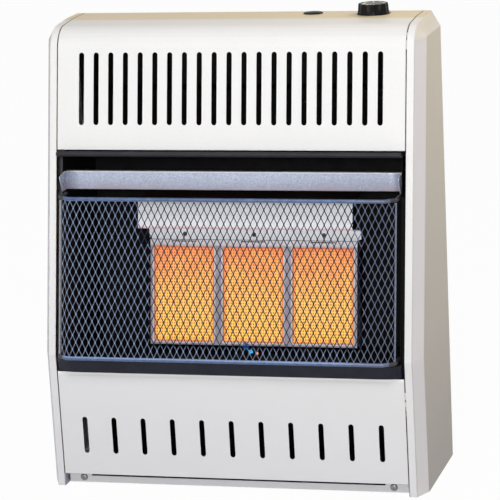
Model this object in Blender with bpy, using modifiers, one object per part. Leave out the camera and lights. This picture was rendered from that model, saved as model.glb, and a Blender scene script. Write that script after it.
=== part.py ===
"""Ventless gas wall heater with three glowing plaques, as separate pieces.

Metres, +Z up, the front faces -Y. The origin is the bottom centre of the whole heater.
Places from front to back are written as depths, measured forward from the rear face.
"""
import math

import bmesh
import bpy
from mathutils import Matrix, Vector

# Cabinet: overall size and the slant of its front
WIDTH = 0.504
HEIGHT = 0.600
SHEET = 0.0010
SEAM = 0.0009
CLEAR = 0.0003
BASE_DEPTH = 0.1936
BEND_DEPTH = 0.2024
BEND_HEIGHT = 0.180
EDGE_DEPTH = 0.1188
EDGE_DROP = 0.0045
TOP_FLAT_DEPTH = 0.0505
BEND_RADIUS = 0.006
TOP_BEND_RADIUS = 0.032

# Side panels: a narrow front flange, a chamfer and the side face
FLANGE_WIDTH = 0.0092
CHAMFER_WIDTH = 0.0113
CHAMFER_DEPTH = 0.0270
CHAMFER_TOP = 0.0200
REAR_FLANGE = 0.0140

# Front covers and their air slots
LIP_HEIGHT = 0.4426
LIP_FOLD = 0.0120
SILL_HEIGHT = 0.1580
SILL_FOLD = 0.0040
PANEL_BOTTOM = 0.0171
SLOT_WIDTH = 0.0069
SLOT_PITCH = 0.0198
SLOT_COUNT = 21
UPPER_SLOT_OVER_LIP = 0.0310
UPPER_SLOT_UNDER_TOP = 0.0341
LOWER_SLOT_BOTTOM = 0.0462
LOWER_SLOT_TOP = 0.0962
LOWER_SLOT_COUNT = 11
SLOT_ARC_STEPS = 6
SLOT_REACH = 0.0600
REAR_FOLD = 0.0080

# Base pan and rear panel
PAN_HEIGHT = 0.0020
PAN_SETBACK = 0.0120
PAN_INSET = 0.0027
PAN_SIDE = 0.2495
PAN_FRONT = 0.1500
PAN_REAR = 0.0040
PAN_REAR_HALF = 0.2360
PAN_WALL = 0.0120
STRIP_NOTCH = 0.0052
STRIP_TAB = 0.0110
REAR_DROP = 0.0040
KEYHOLE_SPACING = 0.4200
KEYHOLE_DROP = 0.0450
KEYHOLE_RADIUS = 0.0075
KEYHOLE_NECK = 0.0060
KEYHOLE_RISE = 0.0170
HANGER_TALL = 0.1000
HANGER_WIDTH = 0.1310

# Firebox: black liner round the burner
FIREBOX_FLOOR = 0.1500
FIREBOX_ROOF = 0.4367
FIREBOX_REAR = 0.0080
LINER_GAP = 0.0065
LINER_INSET = 0.0075
LINER_SHEET = 0.0008
FLOOR_LAP = 0.0030
FLOOR_FRONT = 0.1965
FLOOR_FOLD = 0.0060
ROOF_LAP = 0.0028
ROOF_ROLL_STEPS = 6
ROOF_FRONT = 0.1640
ROOF_ROLL = 0.0048

# Deflector bar over the guard
DEFLECTOR_BOTTOM = 0.3879
DEFLECTOR_TOP = 0.4125
DEFLECTOR_DEPTH = 0.1400
DEFLECTOR_FLANGE = 0.0100
DEFLECTOR_TAB_DROP = 0.0025
DEFLECTOR_TAB = 0.0280
DEFLECTOR_TAB_LOW = 0.0180

# Guard: a shallow tray of expanded metal between two bent rods
GUARD_STAND_OFF = 0.0220
GUARD_TOP = 0.3840
GUARD_BOTTOM = 0.1819
ROD_RADIUS = 0.0027
END_WIRE_RADIUS = 0.0012
GUARD_CORNER = 0.0140
GUARD_RETURN = 0.0090
GUARD_LEG_INSIDE = 0.0120
ROD_BEND = 0.0060
MESH_COLUMNS = 20
MESH_ROWS = 5
MESH_STRAND = 0.0024

# Apron under the guard
APRON_LAP = 0.0035
APRON_END = 0.0305
APRON_STEP_DEPTH = 0.1965
APRON_STEP_HEIGHT = 0.1592
APRON_LEDGE = 0.0115
APRON_BULGE = 0.0190
APRON_FOOT = 0.0120
APRON_END_STEPS = 6
SILL_CLEAR = 0.0025

# Burner, tilted back, with three ceramic plaques
BURNER_TILT = math.atan2(0.0219, 0.1250)
BURNER_GAP = 0.0079
BURNER_MID_DEPTH = 0.0574
PLAQUE_PITCH = 0.0952
PLAQUE_WIDTH = 0.0880
PLAQUE_TALL = 0.1310
PLAQUE_THICK = 0.0120
WINDOW_WIDTH = 0.0822
WINDOW_TALL = 0.1270
WINDOW_DROP = 0.0020
BURNER_WIDTH = 0.2830
BURNER_TALL = 0.1400
BOX_DEEP = 0.0300
FRAME_SHEET = 0.0012
SLIT_WIDTH = 0.0340
SLIT_TALL = 0.0014
STRIP_TALL = 0.0127
STRIP_SUNK = 0.0006
STRIP_SETBACK = 0.0058
STRIP_HALF = 0.1415
STRIP_SHELF = 0.0150
SLIT_GAP = 0.0060
BURNER_BRACKET_SETBACK = 0.0174
BURNER_BRACKET_TALL = 0.1100
REFLECTOR_HALF = 0.1450
REFLECTOR_REACH = 0.0495
REFLECTOR_LIP_RISE = 0.0125
REFLECTOR_TALL = 0.0350
REFLECTOR_LEAN = 0.0060
REFLECTOR_ROOF_RISE = 0.0120

# Screws
SCREW_HEAD_RADIUS = 0.0048
SHANK_SHARE = 0.45
HEAD_RISE_SHARE = 0.48
SCREW_DOME = ((0.0, 1.0), (0.6, 0.9), (0.9, 0.6))
SCREW_SHANK_RADIUS = SCREW_HEAD_RADIUS * SHANK_SHARE
CLAMP_SCREW_RADIUS = 0.0030
SCREW_SHANK_LENGTH = 0.0060
BASE_SCREW_INSET = 0.0220
BASE_SCREW_HEIGHT = 0.0088

# Controls on the top
KNOB_INSET = 0.0826
KNOB_DEPTH = 0.0270
KNOB_RADIUS = 0.0211
KNOB_TOP_RADIUS = 0.0196
KNOB_RISE = 0.0140
KNOB_SUNK = 0.0080
KNOB_CLEAR = 0.0011
KNOB_EDGE = 0.0010
KNOB_SOCKET = 0.0100
KNOB_TRAVEL = 0.0030
KNOB_FLUTES = 14
KNOB_FLUTE_DEEP = 0.0009
STEM_RADIUS = 0.0040
VALVE_RADIUS = 0.0170
VALVE_LENGTH = 0.0640
VALVE_BORE_DEEP = 0.0260
VALVE_NECK_RADIUS = 0.0119
VALVE_NECK_TALL = 0.0096
VALVE_SHOULDER = 0.0128
VALVE_INLET_DROP = 0.0320
VALVE_OUTLET_DROP = 0.0512
BRACKET_DROP = 0.0210
BRACKET_HALF = 0.0240
BRACKET_LEG = 0.0340
WASHER_RADIUS = 0.0090
WASHER_HEIGHT = 0.0016
WASHER_LIFT = 0.0040
BUTTON_INSET = 0.1640
BUTTON_DEPTH = 0.0215
BEZEL_RADIUS = 0.0129
BEZEL_HEIGHT = 0.0014
BUTTON_RADIUS = 0.0094
BUTTON_RISE = 0.0010
BUTTON_TRAVEL = 0.0020
BUTTON_SKIRT = 0.0060
BUTTON_DOME = ((0.0, 1.0), (0.6, 0.85), (0.92, 0.4), (1.0, -0.4))
PIEZO_RADIUS = 0.0108
PIEZO_LENGTH = 0.0380

# Gas line, in the channel beside the firebox on the +X side and in the base
PIPE_RADIUS = 0.0040
TUBE_RADIUS = 0.0016
LEAD_RADIUS = 0.0014
PIPE_LANE_INSET = 0.0110
INLET_INSET = 0.0620
INLET_HEIGHT = 0.0600
REGULATOR_RADIUS = 0.0210
REGULATOR_HEIGHT = 0.0340
REGULATOR_SHAPE = ((0.0, 1.0), (0.5, 1.0), (0.55, 0.5), (1.0, 0.3), (1.0, -0.3), (0.8, -1.0), (0.0, -1.0))
REGULATOR_DEPTH = 0.0620
INLET_RADIUS = 0.0085
INLET_BORE = 0.0047
INLET_END = 0.0120
INLET_NOTCH = 0.0240
MANIFOLD_LANE_DEPTH = 0.0600
PILOT_LANE_DEPTH = 0.0780
COUPLE_LANE_DEPTH = 0.0900
SPARK_LANE_DEPTH = 0.1020
PILOT_LANE_HEIGHT = 0.1100
COUPLE_LANE_HEIGHT = 0.0980
SPARK_LANE_HEIGHT = 0.0860
PIPE_BEND = 0.0100
TUBE_BEND = 0.0050
LEAD_DROP = 0.0065
STAND_HALF = 0.0180
STAND_FOOT = 0.0120
VENTURI_HEIGHT = 0.1250
VENTURI_RADIUS = 0.0100
VENTURI_BEND = 0.0140
VENTURI_X = 0.0700
VENTURI_SETBACK = 0.0099
VENTURI_MOUTH_X = 0.1350
BELL_DEEP = 0.0180
INJECTOR_RADIUS = 0.0055
INJECTOR_TIP_RADIUS = 0.0028
INJECTOR_LENGTH = 0.0220

# Pilot
PILOT_DEPTH = 0.0880
PILOT_RADIUS = 0.0040
PILOT_TALL = 0.0090
PILOT_SHAPE = ((0.0, 1.0), (0.8, 1.0), (1.0, 0.9), (1.0, 0.3), (0.7, 0.0), (0.0, 0.0))
COUPLE_X = 0.0120
SPARK_X = -0.0140
PROBE_RADIUS = 0.0024
PROBE_TIP_RADIUS = 0.0014
PROBE_TALL = 0.0160
PROBE_LEAN = 0.0030

OVERALL_DEPTH = BEND_DEPTH + GUARD_STAND_OFF + ROD_RADIUS
REAR_Y = OVERALL_DEPTH / 2
SIDES = ((-1, "left"), (1, "right"))
HALF = WIDTH / 2
CHAMFER_HALF = HALF - CHAMFER_WIDTH
OPENING_HALF = CHAMFER_HALF - FLANGE_WIDTH
COVER_HALF = OPENING_HALF - SEAM
REAR_SEAT = SHEET + CLEAR
EDGE_HEIGHT = HEIGHT - EDGE_DROP
UPPER_SLOT_BOTTOM = LIP_HEIGHT + UPPER_SLOT_OVER_LIP
UPPER_SLOT_TOP = HEIGHT - UPPER_SLOT_UNDER_TOP
KEYHOLE_HEIGHT = HEIGHT - KEYHOLE_DROP
LINER_HALF = OPENING_HALF - LINER_GAP
FLOOR_HALF = LINER_HALF + FLOOR_LAP
ROOF_HALF = LINER_HALF + ROOF_LAP
APRON_HALF = LINER_HALF + APRON_LAP
APRON_STRAIGHT = APRON_HALF - APRON_END
GUARD_HALF = LINER_HALF - CLEAR - ROD_RADIUS
GUARD_FRONT_HALF = GUARD_HALF - GUARD_CORNER
BURNER_UP = BURNER_TALL / 2 * math.cos(BURNER_TILT)
BURNER_BACK = BURNER_TALL / 2 * math.sin(BURNER_TILT)
BURNER_MID_HEIGHT = FIREBOX_FLOOR + BURNER_GAP + BURNER_UP + BOX_DEEP * math.sin(BURNER_TILT)
VENTURI_TOP = FIREBOX_FLOOR + BURNER_GAP - CLEAR
VENTURI_DEPTH = BURNER_MID_DEPTH - VENTURI_SETBACK
STRIP_BOTTOM = BURNER_MID_HEIGHT + BURNER_UP - STRIP_SUNK
STRIP_TOP = STRIP_BOTTOM + STRIP_TALL
STRIP_DEPTH = BURNER_MID_DEPTH - BURNER_BACK - STRIP_SETBACK
REFLECTOR_LIP_DEPTH = STRIP_DEPTH + REFLECTOR_REACH
REFLECTOR_LIP_HEIGHT = STRIP_TOP + REFLECTOR_LIP_RISE
REFLECTOR_TOP_DEPTH = REFLECTOR_LIP_DEPTH - REFLECTOR_LEAN
REFLECTOR_TOP_HEIGHT = REFLECTOR_LIP_HEIGHT + REFLECTOR_TALL
REFLECTOR_FOLD_HEIGHT = REFLECTOR_TOP_HEIGHT + REFLECTOR_ROOF_RISE
BASE_SCREW_HALF = COVER_HALF - BASE_SCREW_INSET
KNOB_X = HALF - KNOB_INSET
BUTTON_X = HALF - BUTTON_INSET
PIPE_LANE = HALF - PIPE_LANE_INSET
INLET_X = HALF - INLET_INSET
BRACKET_TOP = HEIGHT - BRACKET_DROP
VALVE_TOP = BRACKET_TOP - SHEET - CLEAR


def clear_scene():
    for item in list(bpy.data.objects):
        bpy.data.objects.remove(item, do_unlink=True)


def collection(name):
    group = bpy.data.collections.new(name)
    bpy.context.scene.collection.children.link(group)
    return group


clear_scene()
PARTS = collection("ventless_gas_heater")
CUTTERS = collection("cutters")

# Finishes: name, colour, roughness and metallic value
PAINT = ("ivory_paint", (0.83, 0.82, 0.79), 0.45, 0.0)
ENAMEL = ("black_enamel", (0.012, 0.012, 0.016), 0.45, 0.0)
APRON_ENAMEL = ("apron_enamel", (0.030, 0.033, 0.048), 0.5, 0.0)
ZINC = ("galvanised", (0.42, 0.46, 0.56), 0.4, 0.6)
STEEL = ("bright_steel", (0.55, 0.55, 0.58), 0.3, 1.0)
GUARD_WIRE = ("guard_wire", (0.26, 0.32, 0.45), 0.35, 0.8)
ALUMINISED = ("aluminised_steel", (0.60, 0.60, 0.64), 0.45, 0.7)
CERAMIC = ("glowing_ceramic", (0.90, 0.42, 0.14), 0.8, 0.0)
BLACK_PLASTIC = ("black_plastic", (0.012, 0.012, 0.013), 0.4, 0.0)
BRASS = ("brass", (0.60, 0.42, 0.16), 0.35, 1.0)
WHITE_CERAMIC = ("white_ceramic", (0.82, 0.80, 0.76), 0.5, 0.0)
BLACK_SLEEVE = ("black_sleeve", (0.02, 0.02, 0.02), 0.6, 0.0)
DIE_CAST = ("die_cast", (0.40, 0.40, 0.42), 0.5, 0.8)


def point(x, depth, height):
    """World position of a place given by its depth from the rear face."""
    return Vector((x, REAR_Y - depth, height))


def slope_depth(height):
    """Depth of the cabinet's front surface at a height."""
    if height < BEND_HEIGHT:
        return BASE_DEPTH + (BEND_DEPTH - BASE_DEPTH) * height / BEND_HEIGHT
    lean = (BEND_DEPTH - EDGE_DEPTH) / (EDGE_HEIGHT - BEND_HEIGHT)
    return BEND_DEPTH - lean * (height - BEND_HEIGHT)


def finish(name, look):
    label, colour, roughness, metallic = look
    material = bpy.data.materials.new(name + "_" + label)
    material.use_nodes = True
    shader = material.node_tree.nodes["Principled BSDF"]
    shader.inputs["Base Color"].default_value = (*colour, 1.0)
    shader.inputs["Roughness"].default_value = roughness
    shader.inputs["Metallic"].default_value = metallic
    return material


def add(name, mesh, look, group=None):
    obj = bpy.data.objects.new(name, mesh)
    (group or PARTS).objects.link(obj)
    if look:
        mesh.materials.append(finish(name, look))
    if group is CUTTERS:
        obj.hide_render = True
        obj.display_type = "WIRE"
    return obj


def mesh_from(name, shape):
    mesh = bpy.data.meshes.new(name)
    shape.to_mesh(mesh)
    shape.free()
    return mesh


def smooth(obj, angle=35):
    obj.data.shade_smooth()
    obj.data.set_sharp_from_angle(angle=math.radians(angle))


def block(name, x, depth, height, look, group=None):
    """Block from ranges of x, depth and height."""
    low = point(x[0], depth[1], height[0])
    high = point(x[1], depth[0], height[1])
    shape = bmesh.new()
    bmesh.ops.create_cube(shape, size=1.0)
    bmesh.ops.scale(shape, vec=high - low, verts=shape.verts)
    bmesh.ops.translate(shape, vec=(low + high) / 2, verts=shape.verts)
    return add(name, mesh_from(name, shape), look, group)


def bar(name, start, end, radius, look, group=None, sides=16, end_radius=None):
    """Straight round bar between two points, or a taper to end_radius."""
    start, end = Vector(start), Vector(end)
    run = end - start
    shape = bmesh.new()
    tip = radius if end_radius is None else end_radius
    bmesh.ops.create_cone(
        shape, cap_ends=True, segments=sides, radius1=radius, radius2=tip, depth=run.length
    )
    turn = run.to_track_quat("Z", "Y").to_matrix().to_4x4()
    place = Matrix.Translation((start + end) / 2) @ turn
    bmesh.ops.transform(shape, matrix=place, verts=shape.verts)
    obj = add(name, mesh_from(name, shape), look, group)
    smooth(obj)
    return obj


def cut(obj, cutter):
    modifier = obj.modifiers.new("cut_" + cutter.name, "BOOLEAN")
    modifier.operation = "DIFFERENCE"
    modifier.object = cutter
    modifier.solver = "EXACT"


def round_hole(obj, name, centre, along, radius, sides=16):
    """Cuts a round hole through obj, centred on a point and running both ways along a vector."""
    cut(obj, bar(name, centre - along, centre + along, radius, None, CUTTERS, sides))


def solidify(obj, thickness):
    modifier = obj.modifiers.new("thickness", "SOLIDIFY")
    modifier.thickness = thickness
    modifier.offset = -1.0
    modifier.use_even_offset = True


def rounded(corners, radii, steps=6):
    """Polyline of 2D points with each inner corner replaced by an arc of its own radius."""
    result = [Vector(corners[0])]
    for before, corner, after, radius in zip(corners, corners[1:], corners[2:], radii):
        corner = Vector(corner)
        back = (Vector(before) - corner).normalized()
        ahead = (Vector(after) - corner).normalized()
        half_angle = back.angle(ahead) / 2
        centre = corner + (back + ahead).normalized() * radius / math.sin(half_angle)
        reach = radius / math.tan(half_angle)
        first = corner + back * reach - centre
        last = corner + ahead * reach - centre
        start = math.atan2(first.y, first.x)
        sweep = math.atan2(first.x * last.y - first.y * last.x, first.dot(last))
        for step in range(steps + 1):
            angle = start + sweep * step / steps
            result.append(centre + radius * Vector((math.cos(angle), math.sin(angle))))
    result.append(Vector(corners[-1]))
    return result


def bent(places, radius, steps=3):
    """Polyline of world points with each inner corner rounded."""
    result = [Vector(places[0])]
    for before, corner, after in zip(places, places[1:], places[2:]):
        corner = Vector(corner)
        back = (Vector(before) - corner).normalized()
        ahead = (Vector(after) - corner).normalized()
        reach = radius / math.tan(back.angle(ahead) / 2)
        start, end = corner + back * reach, corner + ahead * reach
        for step in range(steps + 1):
            t = step / steps
            result.append(start.lerp(corner, t).lerp(corner.lerp(end, t), t))
    result.append(Vector(places[-1]))
    return result


def folded_sheet(name, profile, half_width, look, centre_x=0.0):
    """Sheet bent along (depth, height) points and 2 x half_width wide.

    Running forward over the top and down the front, the points are its outer surface.
    """
    shape = bmesh.new()
    line = [shape.verts.new(point(centre_x - half_width, d, h)) for d, h in profile]
    edges = [shape.edges.new(pair) for pair in zip(line, line[1:])]
    sweep = bmesh.ops.extrude_edge_only(shape, edges=edges)
    moved = [item for item in sweep["geom"] if isinstance(item, bmesh.types.BMVert)]
    bmesh.ops.translate(shape, vec=(2 * half_width, 0, 0), verts=moved)
    shape.normal_update()
    run = Vector(profile[1]) - Vector(profile[0])
    outward = Vector((0, run.y, run.x))
    if line[0].link_faces[0].normal.dot(outward) < 0:
        bmesh.ops.reverse_faces(shape, faces=shape.faces)
    obj = add(name, mesh_from(name, shape), look)
    solidify(obj, SHEET)
    return obj


def surface_grid(name, rows, look, thickness, outward):
    """Sheet through rows of points; thickness goes in from the side that outward points to."""
    shape = bmesh.new()
    grid = [[shape.verts.new(place) for place in row] for row in rows]
    for lower, upper in zip(grid, grid[1:]):
        for index in range(len(lower) - 1):
            shape.faces.new((lower[index], lower[index + 1], upper[index + 1], upper[index]))
    shape.normal_update()
    largest = max(shape.faces, key=lambda item: item.calc_area())
    if largest.normal.dot(Vector(outward)) < 0:
        bmesh.ops.reverse_faces(shape, faces=shape.faces)
    obj = add(name, mesh_from(name, shape), look)
    solidify(obj, thickness)
    return obj


def side_sheet(name, outline, x, thickness, side, look):
    """Flat sheet that faces sideways, from (depth, height) points, its inner face at side * x."""
    shape = bmesh.new()
    face = shape.faces.new([shape.verts.new(point(side * x, d, h)) for d, h in outline])
    face.normal_update()
    if face.normal.x * side > 0:
        face.normal_flip()
    obj = add(name, mesh_from(name, shape), look)
    solidify(obj, thickness)
    return obj


def tube_curve(name, places, radius):
    curve = bpy.data.curves.new(name, "CURVE")
    curve.dimensions = "3D"
    curve.bevel_depth = radius
    curve.bevel_resolution = 2
    curve.use_fill_caps = True
    spline = curve.splines.new("POLY")
    spline.points.add(len(places) - 1)
    for target, place in zip(spline.points, places):
        target.co = (*place, 1.0)
    return curve


def tube(name, places, radius, look):
    """Round tube along a polyline of world points, with filled ends."""
    curve = tube_curve(name, places, radius)
    curve.materials.append(finish(name, look))
    obj = bpy.data.objects.new(name, curve)
    PARTS.objects.link(obj)
    return obj


def as_mesh(name, curve, place):
    """Welded mesh of a curve, moved to its place."""
    guide = bpy.data.objects.new(name + "_guide", curve)
    bpy.context.scene.collection.objects.link(guide)
    guide.matrix_world = place
    bpy.context.view_layer.update()
    ready = guide.evaluated_get(bpy.context.evaluated_depsgraph_get())
    mesh = bpy.data.meshes.new_from_object(ready)
    mesh.transform(guide.matrix_world)
    bpy.data.objects.remove(guide, do_unlink=True)
    shape = bmesh.new()
    shape.from_mesh(mesh)
    bmesh.ops.remove_doubles(shape, verts=shape.verts, dist=0.00001)
    shape.to_mesh(mesh)
    shape.free()
    mesh.materials.clear()
    return mesh


def plate(name, outline, place, thickness, look, group=None):
    """Flat plate from (x, z) points, facing -Y, with its front face at place."""
    curve = bpy.data.curves.new(name, "CURVE")
    curve.dimensions = "2D"
    curve.fill_mode = "BOTH"
    curve.extrude = thickness / 2
    spline = curve.splines.new("POLY")
    spline.points.add(len(outline) - 1)
    spline.use_cyclic_u = True
    for target, (x, z) in zip(spline.points, outline):
        target.co = (x, z, 0.0, 1.0)
    middle = Vector(place) + Vector((0, thickness / 2, 0))
    upright = Matrix.Translation(middle) @ Matrix.Rotation(math.radians(90), 4, "X")
    return add(name, as_mesh(name, curve, upright), look, group)


def turned(name, profile, centre, look, steps):
    """Solid turned about the vertical through centre, from (radius, height) points.

    The profile runs from the axis at the top, down the outer side, to the axis below.
    """
    shape = bmesh.new()
    line = [shape.verts.new((radius, 0, height)) for radius, height in profile]
    for pair in zip(line, line[1:]):
        shape.edges.new(pair)
    obj = add(name, mesh_from(name, shape), look)
    obj.location = centre
    screw = obj.modifiers.new("turn", "SCREW")
    screw.steps = steps
    screw.render_steps = steps
    screw.use_merge_vertices = True
    screw.merge_threshold = 0.00005
    screw.use_smooth_shade = True
    return obj


def stadium(x, bottom, top, width):
    """Outline of an upright slot with round ends."""
    radius = width / 2
    outline = []
    for centre, start in ((top - radius, 0.0), (bottom + radius, math.pi)):
        for step in range(SLOT_ARC_STEPS + 1):
            angle = start + math.pi * step / SLOT_ARC_STEPS
            outline.append((x + radius * math.cos(angle), centre + radius * math.sin(angle)))
    return outline


def slot_row(name, count, pitch, bottom, top):
    """Row of upright slots, as one cutter that passes through the front sheet."""
    outline = stadium(-(count - 1) / 2 * pitch, bottom, top, SLOT_WIDTH)
    middle = slope_depth((bottom + top) / 2)
    cutter = plate(name, outline, point(0, middle + SLOT_REACH / 2, 0), SLOT_REACH, None, CUTTERS)
    row = cutter.modifiers.new("row", "ARRAY")
    row.count = count
    row.use_relative_offset = False
    row.use_constant_offset = True
    row.constant_offset_displace = (pitch, 0, 0)
    return cutter


def cabinet_line(start_depth, bottom):
    """(depth, height) points of the outer surface from the top's rear down to a height."""
    corners = [(start_depth, HEIGHT), (TOP_FLAT_DEPTH, HEIGHT), (EDGE_DEPTH, EDGE_HEIGHT)]
    radii = [BEND_RADIUS, TOP_BEND_RADIUS]
    if bottom < BEND_HEIGHT:
        corners.append((BEND_DEPTH, BEND_HEIGHT))
        radii.append(BEND_RADIUS)
    corners.append((slope_depth(bottom), bottom))
    return rounded(corners, radii)


def make_side_panel(name, side):
    """Formed side panel: front flange, chamfer all round, side face and rear flange."""
    outer = [tuple(place) for place in cabinet_line(REAR_SEAT, 0.0)]
    inset = []
    for depth, height in outer:
        limit = slope_depth(min(height, EDGE_HEIGHT)) - CHAMFER_DEPTH
        inset.append((min(depth, limit), min(height, HEIGHT - CHAMFER_TOP)))
    shape = bmesh.new()
    grid = []
    for x, line in ((OPENING_HALF, outer), (CHAMFER_HALF, outer), (HALF, inset)):
        grid.append([shape.verts.new(point(side * x, d, h)) for d, h in line])
    for low, high in zip(grid, grid[1:]):
        for index in range(len(low) - 1):
            shape.faces.new((low[index], low[index + 1], high[index + 1], high[index]))
    foot = shape.verts.new(point(side * HALF, REAR_SEAT, 0.0))
    shape.faces.new(grid[2] + [foot])
    turned_in = side * (HALF - REAR_FLANGE)
    rear_top = shape.verts.new(point(turned_in, REAR_SEAT, HEIGHT - CHAMFER_TOP))
    rear_foot = shape.verts.new(point(turned_in, REAR_SEAT, 0.0))
    shape.faces.new((grid[2][0], foot, rear_foot, rear_top))
    bmesh.ops.remove_doubles(shape, verts=shape.verts, dist=0.00002)
    bmesh.ops.recalc_face_normals(shape, faces=shape.faces)
    face = max(shape.faces, key=lambda item: item.calc_area())
    if face.normal.x * side < 0:
        bmesh.ops.reverse_faces(shape, faces=shape.faces)
    obj = add(name, mesh_from(name, shape), PAINT)
    solidify(obj, SHEET)


def make_upper_cover():
    """Top, sloping edge and slotted front in one sheet, with a folded lip."""
    main = cabinet_line(REAR_SEAT, LIP_HEIGHT)
    profile = [Vector((REAR_SEAT, HEIGHT - REAR_FOLD))] + main
    profile.append(Vector((slope_depth(LIP_HEIGHT) - LIP_FOLD, LIP_HEIGHT)))
    cover = folded_sheet("upper_front_cover", profile, COVER_HALF, PAINT)
    cut(cover, slot_row("upper_slots", SLOT_COUNT, SLOT_PITCH, UPPER_SLOT_BOTTOM, UPPER_SLOT_TOP))
    through = Vector((0, 0, 2 * SHEET))
    round_hole(cover, "knob_hole", knob_place(), through, KNOB_RADIUS + KNOB_CLEAR, 32)
    round_hole(cover, "igniter_hole", igniter_place(), through, PIEZO_RADIUS + CLEAR, 24)


def make_lower_panel():
    """Leaning lower front with folded edges and every second slot of the row above."""
    top, bottom = slope_depth(SILL_HEIGHT), slope_depth(PANEL_BOTTOM)
    profile = [
        (top - SILL_FOLD, SILL_HEIGHT - SHEET),
        (top, SILL_HEIGHT),
        (bottom, PANEL_BOTTOM),
        (bottom - PAN_SETBACK - SILL_FOLD, PANEL_BOTTOM),
    ]
    panel = folded_sheet("lower_front_panel", profile, COVER_HALF, PAINT)
    row = (LOWER_SLOT_COUNT, 2 * SLOT_PITCH, LOWER_SLOT_BOTTOM, LOWER_SLOT_TOP)
    cut(panel, slot_row("lower_slots", *row))


def strip_depth(height):
    """Depth of the strip below the lower panel: it stands back from the panel's own line."""
    return slope_depth(height) - PAN_SETBACK


def base_screw_place(side):
    return point(side * BASE_SCREW_HALF, strip_depth(BASE_SCREW_HEIGHT), BASE_SCREW_HEIGHT)


def make_base_pan():
    """Tray under the cabinet; its front wall is the strip below the lower panel."""
    strip_top = PANEL_BOTTOM - SEAM
    front = strip_depth(strip_top)
    profile = [
        (front - SILL_FOLD, strip_top),
        (front, strip_top),
        (strip_depth(PAN_HEIGHT), PAN_HEIGHT),
        (REAR_SEAT, PAN_HEIGHT),
        (REAR_SEAT, PAN_HEIGHT + PAN_WALL),
    ]
    pan = folded_sheet("base_pan", profile, PAN_SIDE, PAINT)
    height = (PAN_HEIGHT - SILL_FOLD, PANEL_BOTTOM)
    for side, label in SIDES:
        for name, inner, depth in (
            ("front", COVER_HALF - PAN_INSET, (PAN_FRONT, front + SILL_FOLD)),
            ("rear", PAN_REAR_HALF, (-PAN_REAR, PAN_REAR)),
        ):
            across = sorted((side * inner, side * HALF))
            cut(pan, block("pan_" + name + "_" + label, across, depth, height, None, CUTTERS))
    notch_depth = (front - 2 * SILL_FOLD, front + SILL_FOLD)
    notch_height = (strip_top - STRIP_NOTCH, strip_top + STRIP_NOTCH)
    notch_half = BASE_SCREW_HALF - STRIP_TAB
    notch = block("strip_notch", (-notch_half, notch_half), notch_depth, notch_height, None, CUTTERS)
    cut(pan, notch)
    for side, label in SIDES:
        place, hole = base_screw_place(side), SCREW_SHANK_RADIUS + CLEAR
        round_hole(pan, "base_hole_" + label, place, Vector((0, 2 * SILL_FOLD, 0)), hole, 12)


def make_screw(name, place, normal, head, look):
    """Pan head screw: its head rests on place and its shank runs in against the normal."""
    shank = head * SHANK_SHARE
    rise = head * HEAD_RISE_SHARE
    profile = [(head * wide, rise * tall + CLEAR) for wide, tall in SCREW_DOME]
    profile += [
        (head, CLEAR),
        (shank, CLEAR),
        (shank, -SCREW_SHANK_LENGTH),
        (0.0, -SCREW_SHANK_LENGTH),
    ]
    screw = turned(name, profile, place, look, steps=12)
    screw.rotation_mode = "QUATERNION"
    screw.rotation_quaternion = Vector(normal).to_track_quat("Z", "Y")


def make_back_panel():
    """Rear sheets: the main one with a gas inlet notch, and hangers with keyholes above it."""
    wide, narrow = HALF - SHEET, CHAMFER_HALF - 2 * SHEET
    shoulder, top = HEIGHT - CHAMFER_TOP - SEAM, HEIGHT - REAR_DROP
    split = HEIGHT - HANGER_TALL
    place = point(0, SHEET, 0)
    notch = [
        (INLET_X - INLET_NOTCH, 0.0),
        (INLET_X - INLET_NOTCH, INLET_HEIGHT + INLET_NOTCH),
        (INLET_X + INLET_NOTCH, INLET_HEIGHT + INLET_NOTCH),
        (INLET_X + INLET_NOTCH, 0.0),
    ]
    outline = [(wide, 0.0), (wide, split), (-wide, split), (-wide, 0.0)] + notch
    plate("back_panel", outline, place, SHEET, ALUMINISED)
    foot, inner = split + CLEAR, wide - HANGER_WIDTH
    for side, label in SIDES:
        corners = [(inner, foot), (wide, foot), (wide, shoulder), (narrow, top), (inner, top)]
        outline = [(side * x, z) for x, z in corners]
        hanger = plate("hanger_plate_" + label, outline, place, SHEET, ALUMINISED)
        x = side * KEYHOLE_SPACING / 2
        centre, through = point(x, 0, KEYHOLE_HEIGHT), Vector((0, 10 * SHEET, 0))
        round_hole(hanger, "keyhole_" + label, centre, through, KEYHOLE_RADIUS)
        neck = stadium(x, KEYHOLE_HEIGHT, KEYHOLE_HEIGHT + KEYHOLE_RISE, KEYHOLE_NECK)
        behind = point(0, 10 * SHEET, 0)
        cut(hanger, plate("keyhole_neck_" + label, neck, behind, 20 * SHEET, None, CUTTERS))
    middle = (CLEAR - inner, inner - CLEAR)
    block("back_top_panel", middle, (0.0, SHEET), (foot, top), ALUMINISED)


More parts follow.
